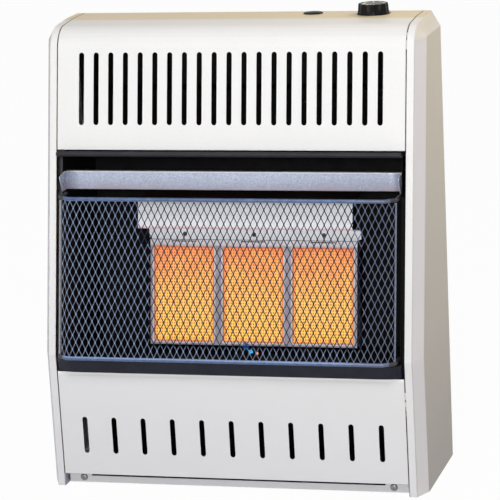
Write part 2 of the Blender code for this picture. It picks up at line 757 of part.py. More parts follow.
def make_firebox():
    """Black sheets round the burner: floor, roof with a rolled edge, rear and two sides."""
    low, high = FIREBOX_FLOOR + CLEAR, FIREBOX_ROOF - SHEET - CLEAR
    floor = [(REAR_SEAT, FIREBOX_FLOOR), (FLOOR_FRONT, FIREBOX_FLOOR)]
    floor.append((FLOOR_FRONT, FIREBOX_FLOOR - FLOOR_FOLD))
    base = folded_sheet("firebox_floor", floor, FLOOR_HALF, ENAMEL)
    through = Vector((0, 0, 3 * SHEET))
    stack = point(VENTURI_X, VENTURI_DEPTH, FIREBOX_FLOOR)
    round_hole(base, "venturi_hole", stack, through, VENTURI_RADIUS + SEAM, 20)
    for label, x in (("pilot", 0.0), ("couple", COUPLE_X), ("spark", SPARK_X)):
        centre = point(x, PILOT_DEPTH, FIREBOX_FLOOR)
        round_hole(base, label + "_hole", centre, through, TUBE_RADIUS + SEAM, 12)
    roll_height = FIREBOX_ROOF + ROOF_ROLL / 2
    roll = [(REAR_SEAT, FIREBOX_ROOF)]
    for step in range(ROOF_ROLL_STEPS + 1):
        angle = math.pi * (step / ROOF_ROLL_STEPS - 0.5)
        across, up = math.cos(angle) * ROOF_ROLL / 2, math.sin(angle) * ROOF_ROLL / 2
        roll.append((ROOF_FRONT - ROOF_ROLL / 2 + across, roll_height + up))
    folded_sheet("firebox_roof", roll, ROOF_HALF, ENAMEL)
    for side, label in SIDES:
        outline = [
            (FIREBOX_REAR, low),
            (slope_depth(low) - LINER_INSET, low),
            (BEND_DEPTH - LINER_INSET, BEND_HEIGHT),
            (slope_depth(high) - LINER_INSET, high),
            (FIREBOX_REAR, high),
        ]
        side_sheet("firebox_liner_" + label, outline, LINER_HALF, LINER_SHEET, side, ENAMEL)
    across = (CLEAR - LINER_HALF, LINER_HALF - CLEAR)
    depth = (FIREBOX_REAR, FIREBOX_REAR + LINER_SHEET)
    block("firebox_rear", across, depth, (low, high), ENAMEL)


def make_deflector():
    """Bar over the guard: a face, a top flange turned back and a tab turned forward each end."""
    half = LINER_HALF - CLEAR - SHEET
    face = (DEFLECTOR_DEPTH, DEFLECTOR_BOTTOM), (DEFLECTOR_DEPTH, DEFLECTOR_TOP)
    shape = bmesh.new()
    columns = []
    for side in (-1, 1):
        columns.append([shape.verts.new(point(side * half, d, h)) for d, h in face])
    (left_low, left_top), (right_low, right_top) = columns
    shape.faces.new((left_low, right_low, right_top, left_top))
    rear = [
        shape.verts.new(point(side * half, DEFLECTOR_DEPTH - DEFLECTOR_FLANGE, DEFLECTOR_TOP))
        for side in (1, -1)
    ]
    shape.faces.new((left_top, right_top, rear[0], rear[1]))
    tab = (
        (DEFLECTOR_DEPTH + DEFLECTOR_TAB_LOW, DEFLECTOR_BOTTOM),
        (DEFLECTOR_DEPTH + DEFLECTOR_TAB, DEFLECTOR_TOP - DEFLECTOR_TAB_DROP),
    )
    left_tab = [shape.verts.new(point(-half, d, h)) for d, h in tab]
    right_tab = [shape.verts.new(point(half, d, h)) for d, h in tab]
    shape.faces.new((left_tab[0], left_low, left_top, left_tab[1]))
    shape.faces.new((right_low, right_tab[0], right_tab[1], right_top))
    obj = add("deflector_hood", mesh_from("deflector_hood", shape), ZINC)
    solidify(obj, SHEET)


def guard_path(height, legs):
    """Plan of the guard at a height: the bowed front, its returns and, on a rod, the legs."""
    front = slope_depth(height) + GUARD_STAND_OFF
    ends = [(GUARD_HALF, front - GUARD_RETURN), (GUARD_FRONT_HALF, front)]
    if legs:
        ends.insert(0, (GUARD_HALF, slope_depth(height) - GUARD_LEG_INSIDE))
    plan = [(-x, depth) for x, depth in ends] + list(reversed(ends))
    return [point(x, depth, height) for x, depth in plan]


def along(places, distance):
    """Point at a distance along a polyline."""
    for start, end in zip(places, places[1:]):
        run = (end - start).length
        if distance <= run:
            return start + (end - start) * distance / run
        distance -= run
    return places[-1].copy()


def make_guard():
    """Two bent rods, an end wire each side and the expanded mesh between them."""
    for label, height in (("top", GUARD_TOP), ("bottom", GUARD_BOTTOM)):
        path = bent(guard_path(height, True), ROD_BEND)
        tube("guard_rod_" + label, path, ROD_RADIUS, GUARD_WIRE)
    low = GUARD_BOTTOM + ROD_RADIUS + CLEAR
    high = GUARD_TOP - ROD_RADIUS - CLEAR
    for side, label in SIDES:
        ends = []
        for height in (low, high):
            depth = slope_depth(height) + GUARD_STAND_OFF - GUARD_RETURN
            ends.append(point(side * GUARD_HALF, depth, height))
        bar("guard_end_wire_" + label, ends[0], ends[1], END_WIRE_RADIUS, GUARD_WIRE, sides=8)
    shape = bmesh.new()
    margin = END_WIRE_RADIUS + CLEAR + MESH_STRAND / 2
    low, high = low + MESH_STRAND / 2, high - MESH_STRAND / 2
    rows = 2 * MESH_ROWS
    columns = 2 * MESH_COLUMNS
    lattice = {}
    for row in range(rows + 1):
        height = low + (high - low) * row / rows
        path = guard_path(height, False)
        length = sum((end - start).length for start, end in zip(path, path[1:]))
        for column in range(columns + 1):
            if (row + column) % 2 == 0:
                distance = margin + (length - 2 * margin) * column / columns
                lattice[row, column] = shape.verts.new(along(path, distance))
    for row in range(rows + 1):
        for column in range(columns + 1):
            if (row + column) % 2 == 1:
                ring = ((row, column - 1), (row - 1, column), (row, column + 1), (row + 1, column))
                shape.faces.new([lattice[key] for key in ring if key in lattice])
    bmesh.ops.recalc_face_normals(shape, faces=shape.faces)
    obj = add("guard_mesh", mesh_from("guard_mesh", shape), GUARD_WIRE)
    strands = obj.modifiers.new("strands", "WIREFRAME")
    strands.thickness = MESH_STRAND
    strands.offset = 0.0
    strands.use_even_offset = True
    strands.use_boundary = True
    strands.use_replace = True


def make_apron():
    """Dished strip under the guard: it stands on the floor, steps over the sill and bows out."""
    stations = []
    reach = APRON_HALF - APRON_STRAIGHT
    for step in range(APRON_END_STEPS + 1):
        angle = math.pi / 2 * step / APRON_END_STEPS
        stations.append((APRON_STRAIGHT + reach * math.sin(angle), math.cos(angle)))
    plan = [(-x, bulge) for x, bulge in reversed(stations)] + stations
    foot, step_depth = FIREBOX_FLOOR + CLEAR, APRON_STEP_DEPTH
    inner = (LINER_HALF - CLEAR) / APRON_HALF
    top = GUARD_BOTTOM - ROD_RADIUS - CLEAR - SHEET
    lines = (
        (inner, step_depth - APRON_FOOT, 0.0, foot),
        (inner, step_depth, 0.0, foot),
        (1.0, step_depth, 0.0, APRON_STEP_HEIGHT),
        (1.0, step_depth + SILL_CLEAR, APRON_LEDGE - SILL_CLEAR, APRON_STEP_HEIGHT),
        (1.0, slope_depth(top), APRON_BULGE, top),
    )
    rows = []
    for share, base, extra, height in lines:
        rows.append([point(x * share, base + extra * bulge, height) for x, bulge in plan])
    surface_grid("apron", rows, APRON_ENAMEL, SHEET, (0, -1, 0))


def burner_parent():
    """Empty at the middle of the burner's face, tilted back as the burner is."""
    empty = bpy.data.objects.new("burner_tilt", None)
    PARTS.objects.link(empty)
    empty.location = point(0, BURNER_MID_DEPTH, BURNER_MID_HEIGHT)
    empty.rotation_euler = (-BURNER_TILT, 0, 0)
    return empty


def burner_block(name, x, out, up, look, group=None):
    """Block in the burner's own frame: across, out from its face and up along it."""
    shift = point(0, 0, 0).y
    depth = (shift + out[0], shift + out[1])
    obj = block(name, x, depth, up, look, group)
    obj.parent = BURNER_TILTED
    return obj


def make_burner():
    """Plenum box, three plaques in its mouth and the frame that holds them."""
    half, tall = BURNER_WIDTH / 2 - SEAM, BURNER_TALL / 2 - SEAM
    plenum = burner_block("burner_box", (-half, half), (-BOX_DEEP, -CLEAR), (-tall, tall), ALUMINISED)
    hollow_half, hollow_tall = half - SHEET, tall - SHEET
    hollow = (-hollow_half, hollow_half), (SHEET - BOX_DEEP, SHEET), (-hollow_tall, hollow_tall)
    cut(plenum, burner_block("burner_hollow", *hollow, None, CUTTERS))
    stack = point(VENTURI_X, VENTURI_DEPTH, VENTURI_TOP)
    round_hole(plenum, "plenum_inlet", stack, Vector((0, 0, 8 * SHEET)), VENTURI_RADIUS - SHEET, 20)
    half, tall = BURNER_WIDTH / 2, BURNER_TALL / 2
    frame = burner_block("burner_frame", (-half, half), (0.0, FRAME_SHEET), (-tall, tall), ALUMINISED)
    window_low, window_high = -WINDOW_TALL / 2 - WINDOW_DROP, WINDOW_TALL / 2 - WINDOW_DROP
    for index, label in enumerate(("left", "middle", "right")):
        x = (index - 1) * PLAQUE_PITCH
        span = (x - WINDOW_WIDTH / 2, x + WINDOW_WIDTH / 2)
        window = (span, (-FRAME_SHEET, 2 * FRAME_SHEET), (window_low, window_high))
        cut(frame, burner_block("window_" + label, *window, None, CUTTERS))
        slit = (window_high + SLIT_GAP, window_high + SLIT_GAP + SLIT_TALL)
        span = (x - SLIT_WIDTH / 2, x + SLIT_WIDTH / 2)
        cut(frame, burner_block("slit_" + label, span, (-FRAME_SHEET, 2 * FRAME_SHEET), slit, None, CUTTERS))
        span = (x - PLAQUE_WIDTH / 2, x + PLAQUE_WIDTH / 2)
        up = (-PLAQUE_TALL / 2 - WINDOW_DROP, PLAQUE_TALL / 2 - WINDOW_DROP)
        burner_block("plaque_" + label, span, (-CLEAR - PLAQUE_THICK, -CLEAR), up, CERAMIC)
    for side, label in SIDES:
        edge = BURNER_WIDTH / 2 - SEAM + CLEAR
        depth = (FIREBOX_REAR + LINER_SHEET + CLEAR, BURNER_MID_DEPTH - BURNER_BRACKET_SETBACK)
        low = BURNER_MID_HEIGHT - BURNER_BRACKET_TALL / 2
        span = sorted((side * edge, side * (edge + SHEET)))
        name = "burner_bracket_" + label
        block(name, span, depth, (low, low + BURNER_BRACKET_TALL), ALUMINISED)


def make_reflector():
    """Clamp strip with three screws, and the bright reflector that leans out above it."""
    strip = [
        (STRIP_DEPTH, STRIP_TOP),
        (STRIP_DEPTH, STRIP_BOTTOM),
        (STRIP_DEPTH - STRIP_SHELF, STRIP_BOTTOM),
    ]
    clamp = folded_sheet("burner_clamp_strip", strip, STRIP_HALF, ALUMINISED)
    behind = STRIP_DEPTH - SHEET - CLEAR
    bend_height = STRIP_TOP + SHEET
    profile = [
        (FIREBOX_REAR + LINER_SHEET + CLEAR, REFLECTOR_FOLD_HEIGHT),
        (REFLECTOR_TOP_DEPTH, REFLECTOR_TOP_HEIGHT),
        (REFLECTOR_LIP_DEPTH, REFLECTOR_LIP_HEIGHT),
        (behind, bend_height),
        (behind, STRIP_BOTTOM + 2 * SHEET),
    ]
    reflector = folded_sheet("upper_reflector", profile, REFLECTOR_HALF, STEEL)
    height = (STRIP_TOP + STRIP_BOTTOM) / 2 + SHEET
    for index, label in enumerate(("left", "middle", "right")):
        place = point((index - 1) * PLAQUE_PITCH, STRIP_DEPTH, height)
        hole, through = CLAMP_SCREW_RADIUS * SHANK_SHARE + CLEAR, Vector((0, 4 * SHEET, 0))
        for sheet in (clamp, reflector):
            round_hole(sheet, sheet.name + "_hole_" + label, place, through, hole, 12)
        make_screw("clamp_screw_" + label, place, (0, -1, 0), CLAMP_SCREW_RADIUS, DIE_CAST)


def knob_place():
    return point(KNOB_X, KNOB_DEPTH, HEIGHT)


def igniter_place():
    return point(BUTTON_X, BUTTON_DEPTH, HEIGHT)


def make_knob():
    """Fluted knob that sinks into its hole in the top, with a socket for the stem."""
    tall = KNOB_RISE + KNOB_SUNK
    shape = bmesh.new()
    bmesh.ops.create_cone(
        shape,
        cap_ends=True,
        segments=4 * KNOB_FLUTES,
        radius1=KNOB_RADIUS,
        radius2=KNOB_TOP_RADIUS,
        depth=tall,
    )
    rim = [edge for edge in shape.edges if all(vert.co.z > 0 for vert in edge.verts)]
    bmesh.ops.bevel(shape, geom=rim, offset=KNOB_EDGE, segments=2, affect="EDGES", profile=0.5)
    for vert in shape.verts:
        radius = vert.co.xy.length
        if radius > KNOB_TOP_RADIUS - KNOB_EDGE / 4:
            wave = max(0.0, math.cos(KNOB_FLUTES * math.atan2(vert.co.y, vert.co.x)))
            vert.co.xy *= 1 - KNOB_FLUTE_DEEP * wave / radius
    knob = add("control_knob", mesh_from("control_knob", shape), BLACK_PLASTIC)
    knob.location = knob_place() + Vector((0, 0, tall / 2 - KNOB_SUNK))
    bottom = knob_place() - Vector((0, 0, KNOB_SUNK))
    round_hole(knob, "stem_socket", bottom, Vector((0, 0, KNOB_SOCKET)), STEM_RADIUS + CLEAR)


def make_valve():
    """Gas valve on its bracket, with the stem and the washer that its spring lifts."""
    top = Vector((0, 0, VALVE_TOP - HEIGHT)) + knob_place()
    profile = [
        (0.0, 0.0),
        (VALVE_NECK_RADIUS, 0.0),
        (VALVE_NECK_RADIUS, -VALVE_NECK_TALL),
        (VALVE_RADIUS, -VALVE_SHOULDER),
        (VALVE_RADIUS, -VALVE_LENGTH),
        (0.0, -VALVE_LENGTH),
    ]
    valve = turned("gas_valve", profile, top, DIE_CAST, steps=24)
    bore = Vector((0, 0, VALVE_BORE_DEEP))
    round_hole(valve, "valve_bore", top, bore, STEM_RADIUS + CLEAR)
    legs = [
        (REAR_SEAT, BRACKET_TOP - BRACKET_LEG),
        (REAR_SEAT, BRACKET_TOP),
        (KNOB_DEPTH + VALVE_RADIUS, BRACKET_TOP),
    ]
    bracket = folded_sheet("valve_bracket", legs, BRACKET_HALF, ALUMINISED, centre_x=KNOB_X)
    centre = Vector((0, 0, BRACKET_TOP - HEIGHT)) + knob_place()
    round_hole(bracket, "bracket_hole", centre, Vector((0, 0, 3 * SHEET)), STEM_RADIUS + CLEAR)
    stem_top = knob_place() + Vector((0, 0, KNOB_SOCKET - KNOB_SUNK - CLEAR))
    stem_foot = top - Vector((0, 0, VALVE_BORE_DEEP - KNOB_TRAVEL - SHEET))
    bar("valve_stem", stem_foot, stem_top, STEM_RADIUS, BRASS)
    washer = centre + Vector((0, 0, WASHER_LIFT))
    lift = Vector((0, 0, WASHER_HEIGHT))
    ring = bar("stem_washer", washer, washer + lift, WASHER_RADIUS, STEEL, sides=24)
    round_hole(ring, "washer_hole", washer, 2 * lift, STEM_RADIUS + CLEAR)


def make_igniter():
    """Piezo igniter with its bezel on the top cover, and the push button in its bore."""
    centre = igniter_place()
    rest = CLEAR
    profile = [
        (0.0, BEZEL_HEIGHT + rest),
        (BEZEL_RADIUS - SHEET, BEZEL_HEIGHT + rest),
        (BEZEL_RADIUS, BEZEL_HEIGHT / 2 + rest),
        (BEZEL_RADIUS, rest),
        (PIEZO_RADIUS, rest),
        (PIEZO_RADIUS, -PIEZO_LENGTH),
        (0.0, -PIEZO_LENGTH),
    ]
    body = turned("piezo_igniter", profile, centre, BLACK_PLASTIC, steps=24)
    top = centre + Vector((0, 0, BEZEL_HEIGHT + rest))
    deep = Vector((0, 0, BUTTON_SKIRT + BUTTON_TRAVEL + SHEET))
    round_hole(body, "button_bore", top, deep, BUTTON_RADIUS + CLEAR, 24)
    dome = [(BUTTON_RADIUS * wide, BUTTON_RISE * tall) for wide, tall in BUTTON_DOME]
    dome += [(BUTTON_RADIUS, -BUTTON_SKIRT), (0.0, -BUTTON_SKIRT)]
    turned("igniter_button", dome, top, BLACK_PLASTIC, steps=24)


def make_gas_line():
    """Inlet, regulator on its stand, supply pipe, manifold, injector and venturi tube."""
    middle = point(INLET_X, REGULATOR_DEPTH, INLET_HEIGHT)
    half = REGULATOR_HEIGHT / 2
    body = [(REGULATOR_RADIUS * wide, half * tall) for wide, tall in REGULATOR_SHAPE]
    turned("pressure_regulator", body, middle, DIE_CAST, steps=24)
    rear = REGULATOR_DEPTH - REGULATOR_RADIUS - CLEAR
    inlet = point(INLET_X, INLET_END, INLET_HEIGHT), point(INLET_X, rear, INLET_HEIGHT)
    fitting = bar("gas_inlet_fitting", *inlet, INLET_RADIUS, BRASS, sides=6)
    mouth = Vector((0, 2 * INLET_RADIUS, 0))
    round_hole(fitting, "inlet_bore", inlet[0], mouth, INLET_BORE, 12)
    foot, shelf = PAN_HEIGHT + SHEET + CLEAR + SHEET, INLET_HEIGHT - half - CLEAR
    near, far = REGULATOR_DEPTH - REGULATOR_RADIUS, REGULATOR_DEPTH + REGULATOR_RADIUS
    stand = [
        (near - STAND_FOOT, foot),
        (near, foot),
        (near, shelf),
        (far, shelf),
        (far, foot),
        (far + STAND_FOOT, foot),
    ]
    folded_sheet("regulator_stand", stand, STAND_HALF, ALUMINISED, centre_x=INLET_X)
    supply_end = KNOB_X + VALVE_RADIUS + CLEAR
    supply_height = VALVE_TOP - VALVE_INLET_DROP
    supply = [
        point(INLET_X + REGULATOR_RADIUS + CLEAR, REGULATOR_DEPTH, INLET_HEIGHT),
        point(PIPE_LANE, REGULATOR_DEPTH, INLET_HEIGHT),
        point(PIPE_LANE, KNOB_DEPTH, INLET_HEIGHT + 3 * PIPE_BEND),
        point(PIPE_LANE, KNOB_DEPTH, supply_height),
        point(supply_end, KNOB_DEPTH, supply_height),
    ]
    tube("supply_pipe", bent(supply, PIPE_BEND), PIPE_RADIUS, STEEL)
    outlet_height = VALVE_TOP - VALVE_OUTLET_DROP
    injector_end = VENTURI_MOUTH_X + INJECTOR_LENGTH
    manifold = [
        point(KNOB_X, KNOB_DEPTH + VALVE_RADIUS + CLEAR, outlet_height),
        point(KNOB_X, MANIFOLD_LANE_DEPTH, outlet_height),
        point(PIPE_LANE, MANIFOLD_LANE_DEPTH, outlet_height),
        point(PIPE_LANE, MANIFOLD_LANE_DEPTH, VENTURI_HEIGHT),
        point(injector_end + 4 * PIPE_BEND, MANIFOLD_LANE_DEPTH, VENTURI_HEIGHT),
        point(injector_end + 2 * PIPE_BEND, VENTURI_DEPTH, VENTURI_HEIGHT),
        point(injector_end + CLEAR, VENTURI_DEPTH, VENTURI_HEIGHT),
    ]
    tube("burner_manifold", bent(manifold, PIPE_BEND), PIPE_RADIUS, STEEL)
    injector = point(injector_end, VENTURI_DEPTH, VENTURI_HEIGHT)
    tip = point(VENTURI_MOUTH_X - BELL_DEEP / 2, VENTURI_DEPTH, VENTURI_HEIGHT)
    bar("injector", injector, tip, INJECTOR_RADIUS, BRASS, sides=12, end_radius=INJECTOR_TIP_RADIUS)
    route = [
        point(VENTURI_MOUTH_X, VENTURI_DEPTH, VENTURI_HEIGHT),
        point(VENTURI_X, VENTURI_DEPTH, VENTURI_HEIGHT),
        point(VENTURI_X, VENTURI_DEPTH, VENTURI_TOP),
    ]
    curve = tube_curve("venturi_tube", bent(route, VENTURI_BEND), VENTURI_RADIUS)
    venturi = add("venturi_tube", as_mesh("venturi_tube", curve, Matrix.Identity(4)), ALUMINISED)
    bell = Vector((BELL_DEEP, 0, 0))
    round_hole(venturi, "venturi_bell", route[0], bell, VENTURI_RADIUS - 2 * SHEET, 16)


def riser(name, start, turn_height, lane_depth, lane_height, x, radius, look):
    """Thin line from the controls, down the side channel and up through the firebox floor."""
    route = [
        start,
        Vector((start.x, start.y, turn_height)),
        point(start.x, lane_depth, turn_height),
        point(PIPE_LANE, lane_depth, turn_height),
        point(PIPE_LANE, lane_depth, lane_height),
        point(x, lane_depth, lane_height),
        point(x, PILOT_DEPTH, lane_height + 2 * TUBE_BEND),
        point(x, PILOT_DEPTH, FIREBOX_FLOOR),
    ]
    tube(name, bent(route, TUBE_BEND), radius, look)


def make_pilot():
    """Pilot burner, flame probe and spark electrode in a row, each on its own line."""
    below = VALVE_TOP - VALVE_LENGTH - CLEAR
    valve_foot = point(KNOB_X, KNOB_DEPTH, below)
    left, right = Vector((-VALVE_RADIUS / 2, 0, 0)), Vector((VALVE_RADIUS / 2, 0, 0))
    lanes = (PILOT_LANE_DEPTH, PILOT_LANE_HEIGHT, 0.0)
    riser("pilot_tube", valve_foot + left, below - LEAD_DROP, *lanes, TUBE_RADIUS, ALUMINISED)
    lanes = (COUPLE_LANE_DEPTH, COUPLE_LANE_HEIGHT, COUPLE_X)
    riser("thermocouple_lead", valve_foot + right, below - 2 * LEAD_DROP, *lanes, LEAD_RADIUS, BRASS)
    spark = point(BUTTON_X, BUTTON_DEPTH, HEIGHT - PIEZO_LENGTH - CLEAR)
    lanes = (SPARK_LANE_DEPTH, SPARK_LANE_HEIGHT, SPARK_X)
    riser("ignition_lead", spark, below - 3 * LEAD_DROP, *lanes, LEAD_RADIUS, BLACK_SLEEVE)
    foot = FIREBOX_FLOOR + CLEAR
    hood = [(PILOT_RADIUS * wide, PILOT_TALL * tall) for wide, tall in PILOT_SHAPE]
    turned("pilot_burner", hood, point(0, PILOT_DEPTH, foot), STEEL, steps=16)
    for name, x, look in (("thermocouple", COUPLE_X, STEEL), ("spark_electrode", SPARK_X, WHITE_CERAMIC)):
        start = point(x, PILOT_DEPTH, foot + PROBE_RADIUS * PROBE_LEAN / PROBE_TALL)
        lean = Vector((-math.copysign(PROBE_LEAN, x), 0, PROBE_TALL))
        bar(name, start, start + lean, PROBE_RADIUS, look, sides=12, end_radius=PROBE_TIP_RADIUS)


BURNER_TILTED = burner_parent()
make_back_panel()
for panel_side, panel_label in SIDES:
    make_side_panel("side_panel_" + panel_label, panel_side)
    screw_place = base_screw_place(panel_side)
    make_screw("base_screw_" + panel_label, screw_place, (0, -1, 0), SCREW_HEAD_RADIUS, STEEL)
make_upper_cover()
make_lower_panel()
make_base_pan()
make_firebox()
make_deflector()
make_guard()
make_apron()
make_burner()
make_reflector()
make_knob()
make_valve()
make_igniter()
make_gas_line()
make_pilot()
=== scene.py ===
"""Looks of the ventless gas heater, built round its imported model.

Metres, +Z up, the front faces -Y. Depths are measured forward from the rear face, as in the
part's own source, and the pieces that replace a node keep that node's place.
"""
import math

import bmesh
import bpy
from mathutils import Matrix, Vector


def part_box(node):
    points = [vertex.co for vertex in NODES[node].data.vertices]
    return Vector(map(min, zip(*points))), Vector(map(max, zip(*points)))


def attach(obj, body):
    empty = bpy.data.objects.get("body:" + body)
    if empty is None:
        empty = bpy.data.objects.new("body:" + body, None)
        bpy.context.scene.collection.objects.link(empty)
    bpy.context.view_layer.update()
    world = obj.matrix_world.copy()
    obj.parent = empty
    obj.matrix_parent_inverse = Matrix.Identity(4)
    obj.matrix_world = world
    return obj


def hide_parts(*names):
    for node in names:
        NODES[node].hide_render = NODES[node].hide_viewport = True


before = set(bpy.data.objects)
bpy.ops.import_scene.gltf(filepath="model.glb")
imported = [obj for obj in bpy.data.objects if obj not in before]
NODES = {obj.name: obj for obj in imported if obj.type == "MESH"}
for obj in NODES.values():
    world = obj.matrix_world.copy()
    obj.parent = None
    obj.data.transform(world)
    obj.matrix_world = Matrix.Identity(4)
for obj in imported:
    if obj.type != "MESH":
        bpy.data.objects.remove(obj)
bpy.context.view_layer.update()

UP = Vector((0, 0, 1))

# Places that the solids give
REAR_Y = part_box("back_panel")[1].y
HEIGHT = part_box("upper_front_cover")[1].z
PANEL_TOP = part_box("lower_front_panel")[1].z

# Camera as fitted to the photograph, with its turns in radians
CAMERA_PLACE = (0.9521, -3.5413, 1.1155)
CAMERA_TURN = 0.2592
CAMERA_DIP = 0.2181
CAMERA_ROLL = -0.0441
LENS = 207.46

# Lamps: place, target, size, watts and colour
LAMPS = {
    "flash": ((0.70, -3.6, 1.20), (0.0, 0.0, 0.3), 0.32, 66.5, (0.99, 0.99, 1.0)),
    "key": ((0.15, -1.7, 2.1), (0.0, 0.0, 0.35), 0.7, 20.5, (1.0, 0.99, 0.98)),
    "left": ((-2.6, -2.2, 1.6), (0.0, 0.0, 0.3), 1.4, 12.0, (0.96, 0.98, 1.0)),
    "right": ((0.95, 0.65, 1.40), (0.25, 0.0, 0.45), 0.4, 7.4, (1.0, 0.82, 0.58)),
}
AMBIENT = 0.13
AMBIENT_COLOUR = (0.90, 0.93, 1.0, 1.0)
FLOOR_GREY = 0.50
FLOOR_GLOW = 0.975
FLOOR_SIZE = 20.0
FLOOR_DROP = 0.0004

# Cabinet
HALF = 0.2520
SIDE_FROM = HALF - 0.0005
CHAMFER_HALF = 0.2407
CHAMFER_DEPTH = 0.0270
CHAMFER_SLANT = CHAMFER_DEPTH / (HALF - CHAMFER_HALF)
OPENING_HALF = 0.2315
SEAM = 0.0009
PAN_SETBACK = 0.0120
CLEAR = 0.0003

# Slant of the cabinet's front
BASE_DEPTH = 0.1936
BEND_DEPTH = 0.2024
BEND_HEIGHT = 0.1800
EDGE_DEPTH = 0.1188
EDGE_HEIGHT = 0.5955
LOWER_LEAN = (BEND_DEPTH - BASE_DEPTH) / BEND_HEIGHT
UPPER_LEAN = (BEND_DEPTH - EDGE_DEPTH) / (EDGE_HEIGHT - BEND_HEIGHT)

# Heights between which the paint's painted shade changes
FOOT_SHADE_TOP = 0.4000
INSIDE_TOP = 0.5700
CORNER_LOW, CORNER_HIGH = 0.5700, 0.5900

# Deflector, with the depths and heights of what is on its wings
DEFLECTOR_HALF = 0.2247
DEFLECTOR_BOTTOM = 0.3879
DEFLECTOR_TOP = 0.4125
DEFLECTOR_DEPTH = 0.1400
DEFLECTOR_FLANGE = 0.0100
DEFLECTOR_HEM = 0.0045
DEFLECTOR_ROLL = 0.0016
DEFLECTOR_SHEET = 0.0010
DEFLECTOR_COLUMNS = 24
WING_CORNER = 0.0022
WING_SLOT, WING_SLOT_RADIUS, WING_SLOT_HALF = (0.1538, 0.4068), 0.0011, 0.0013
WING_HOLE, WING_HOLE_RADIUS = (0.1505, 0.4004), 0.0018
WING_DAB = (0.1540, 0.3975)

# Guard
GUARD_STAND_OFF = 0.0220
GUARD_TOP = 0.3840
GUARD_BOTTOM = 0.1819
ROD_RADIUS = 0.0027
GUARD_HALF = 0.2220
GUARD_FRONT_HALF = 0.2080
GUARD_RETURN = 0.0090
GUARD_LEG_INSIDE = 0.0120
ROD_BEND = 0.0060
MESH_COLUMNS = 51
MESH_ROWS = 11
MESH_BOND = 0.0022
STRAND_RADIUS = 0.00060
STRAND_APART = 0.00040

# Heights and widths in which the guard stands in front of the burner or the reflector and its strands are
# painted dark as painted shade
STRAND_SHADE_PLACES = (((0.200, 0.328), (-0.098, 0.182)), ((0.328, 0.3815), (-0.113, 0.170)))

# Burner, which leans back by 21.9 mm over 125 mm of height
BURNER_TILT = math.atan2(0.0219, 0.1250)
BURNER_MID = Vector((0.0, REAR_Y - 0.0574, 0.2315))
PLAQUE_PITCH = 0.0952
PLAQUES = (("left", -PLAQUE_PITCH), ("middle", 0.0), ("right", PLAQUE_PITCH))
PLAQUE_HALF = 0.0440
PLAQUE_HALF_TALL = 0.0655
PLAQUE_THICK = 0.0120
DISH_DEPTH = 0.0010
DISH_EDGE = 0.0060
HOLE_PITCH = 0.0034
WINDOW_HALF = 0.0411
WINDOW_HALF_TALL = 0.0635
WINDOW_CORNER = 0.0016
WINDOW_DROP = 0.0020
FRAME_SHEET = 0.0012

# Above this height the reflector is its own sooty roof, in painted shade
ROOF_SHADE_HEIGHT = 0.3600

# Controls on the top
KNOB_X, KNOB_DEPTH = 0.1694, 0.0270
KNOB_RADIUS = 0.0211
KNOB_TOP_RADIUS = 0.0196
KNOB_RISE = 0.0140
KNOB_SUNK = 0.0080
KNOB_SOCKET = 0.0100
KNOB_BORE = 0.0043
KNOB_SCALLOPS = 14
SCALLOP_DEPTH = 0.0011

# Marks on the knob: angle in degrees, share of the cap's radius at which it starts, width
KNOB_MARKS = (
    (205, 0.62, 0.0022), (222, 0.62, 0.0022), (250, 0.66, 0.0018), (268, 0.66, 0.0012),
    (286, 0.66, 0.0012), (20, 0.70, 0.0010), (60, 0.70, 0.0010), (100, 0.30, 0.0016),
    (140, 0.66, 0.0018), (158, 0.66, 0.0018),
)
MARK_END = 0.93
MARK_RISE = 0.0007

# Igniter
BUTTON_X, BUTTON_DEPTH = 0.0880, 0.0215
BEZEL_TOP = 0.0017

# Screw heads: radius and rise, then the outline as shares of the two
PAN_SCREW = (0.0048, 0.0023)
STRIP_SCREW = (0.0030, 0.0014)
HEAD_SHARES = ((0.0, 0.98), (0.35, 0.96), (0.62, 0.84), (0.84, 0.58), (0.96, 0.26), (1.0, 0.0))
SHANK_SHARE = 0.45
SCREW_SPIN = math.radians(18)

# Small sheets, as ranges of width, depth and height; the liners' lie behind the slanting front
LAP_DEPTHS = (0.0010, 0.0016)
FOOT_WIDTHS = (OPENING_HALF - 0.0008, OPENING_HALF - 0.0001)
REAR_LAP = ((-0.2350, 0.2350), LAP_DEPTHS, (0.4965, 0.5040))
HANGER_LAP = ((0.1160, 0.1250), LAP_DEPTHS, (0.5045, 0.5950))
FOOT_RETURN = (FOOT_WIDTHS, (BASE_DEPTH - 0.0200, BASE_DEPTH - 0.0004), (0.0004, 0.0162))
LINER_EDGE = ((0.2260, 0.2282), (-0.0090, -0.0080), (0.1600, GUARD_TOP))


def point(x, depth, height):
    return Vector((x, REAR_Y - depth, height))


def slope_depth(height):
    """Depth of the cabinet's front surface at a height."""
    if height < BEND_HEIGHT:
        return BASE_DEPTH + LOWER_LEAN * height
    return BEND_DEPTH - UPPER_LEAN * (height - BEND_HEIGHT)


def linked(name, data):
    """A new object in the scene's collection."""
    piece = bpy.data.objects.new(name, data)
    bpy.context.scene.collection.objects.link(piece)
    return piece


# Camera, lamps and floor


def make_camera():
    data = bpy.data.cameras.new("camera")
    data.sensor_width = 36.0
    data.lens = LENS
    data.clip_end = 50.0
    camera = linked("camera", data)
    turn = Matrix.Rotation(CAMERA_TURN, 3, "Z") @ Matrix.Rotation(math.pi / 2 - CAMERA_DIP, 3, "X")
    turn = turn @ Matrix.Rotation(CAMERA_ROLL, 3, "Z")
    camera.matrix_world = Matrix.Translation(CAMERA_PLACE) @ turn.to_4x4()
    bpy.context.scene.camera = camera


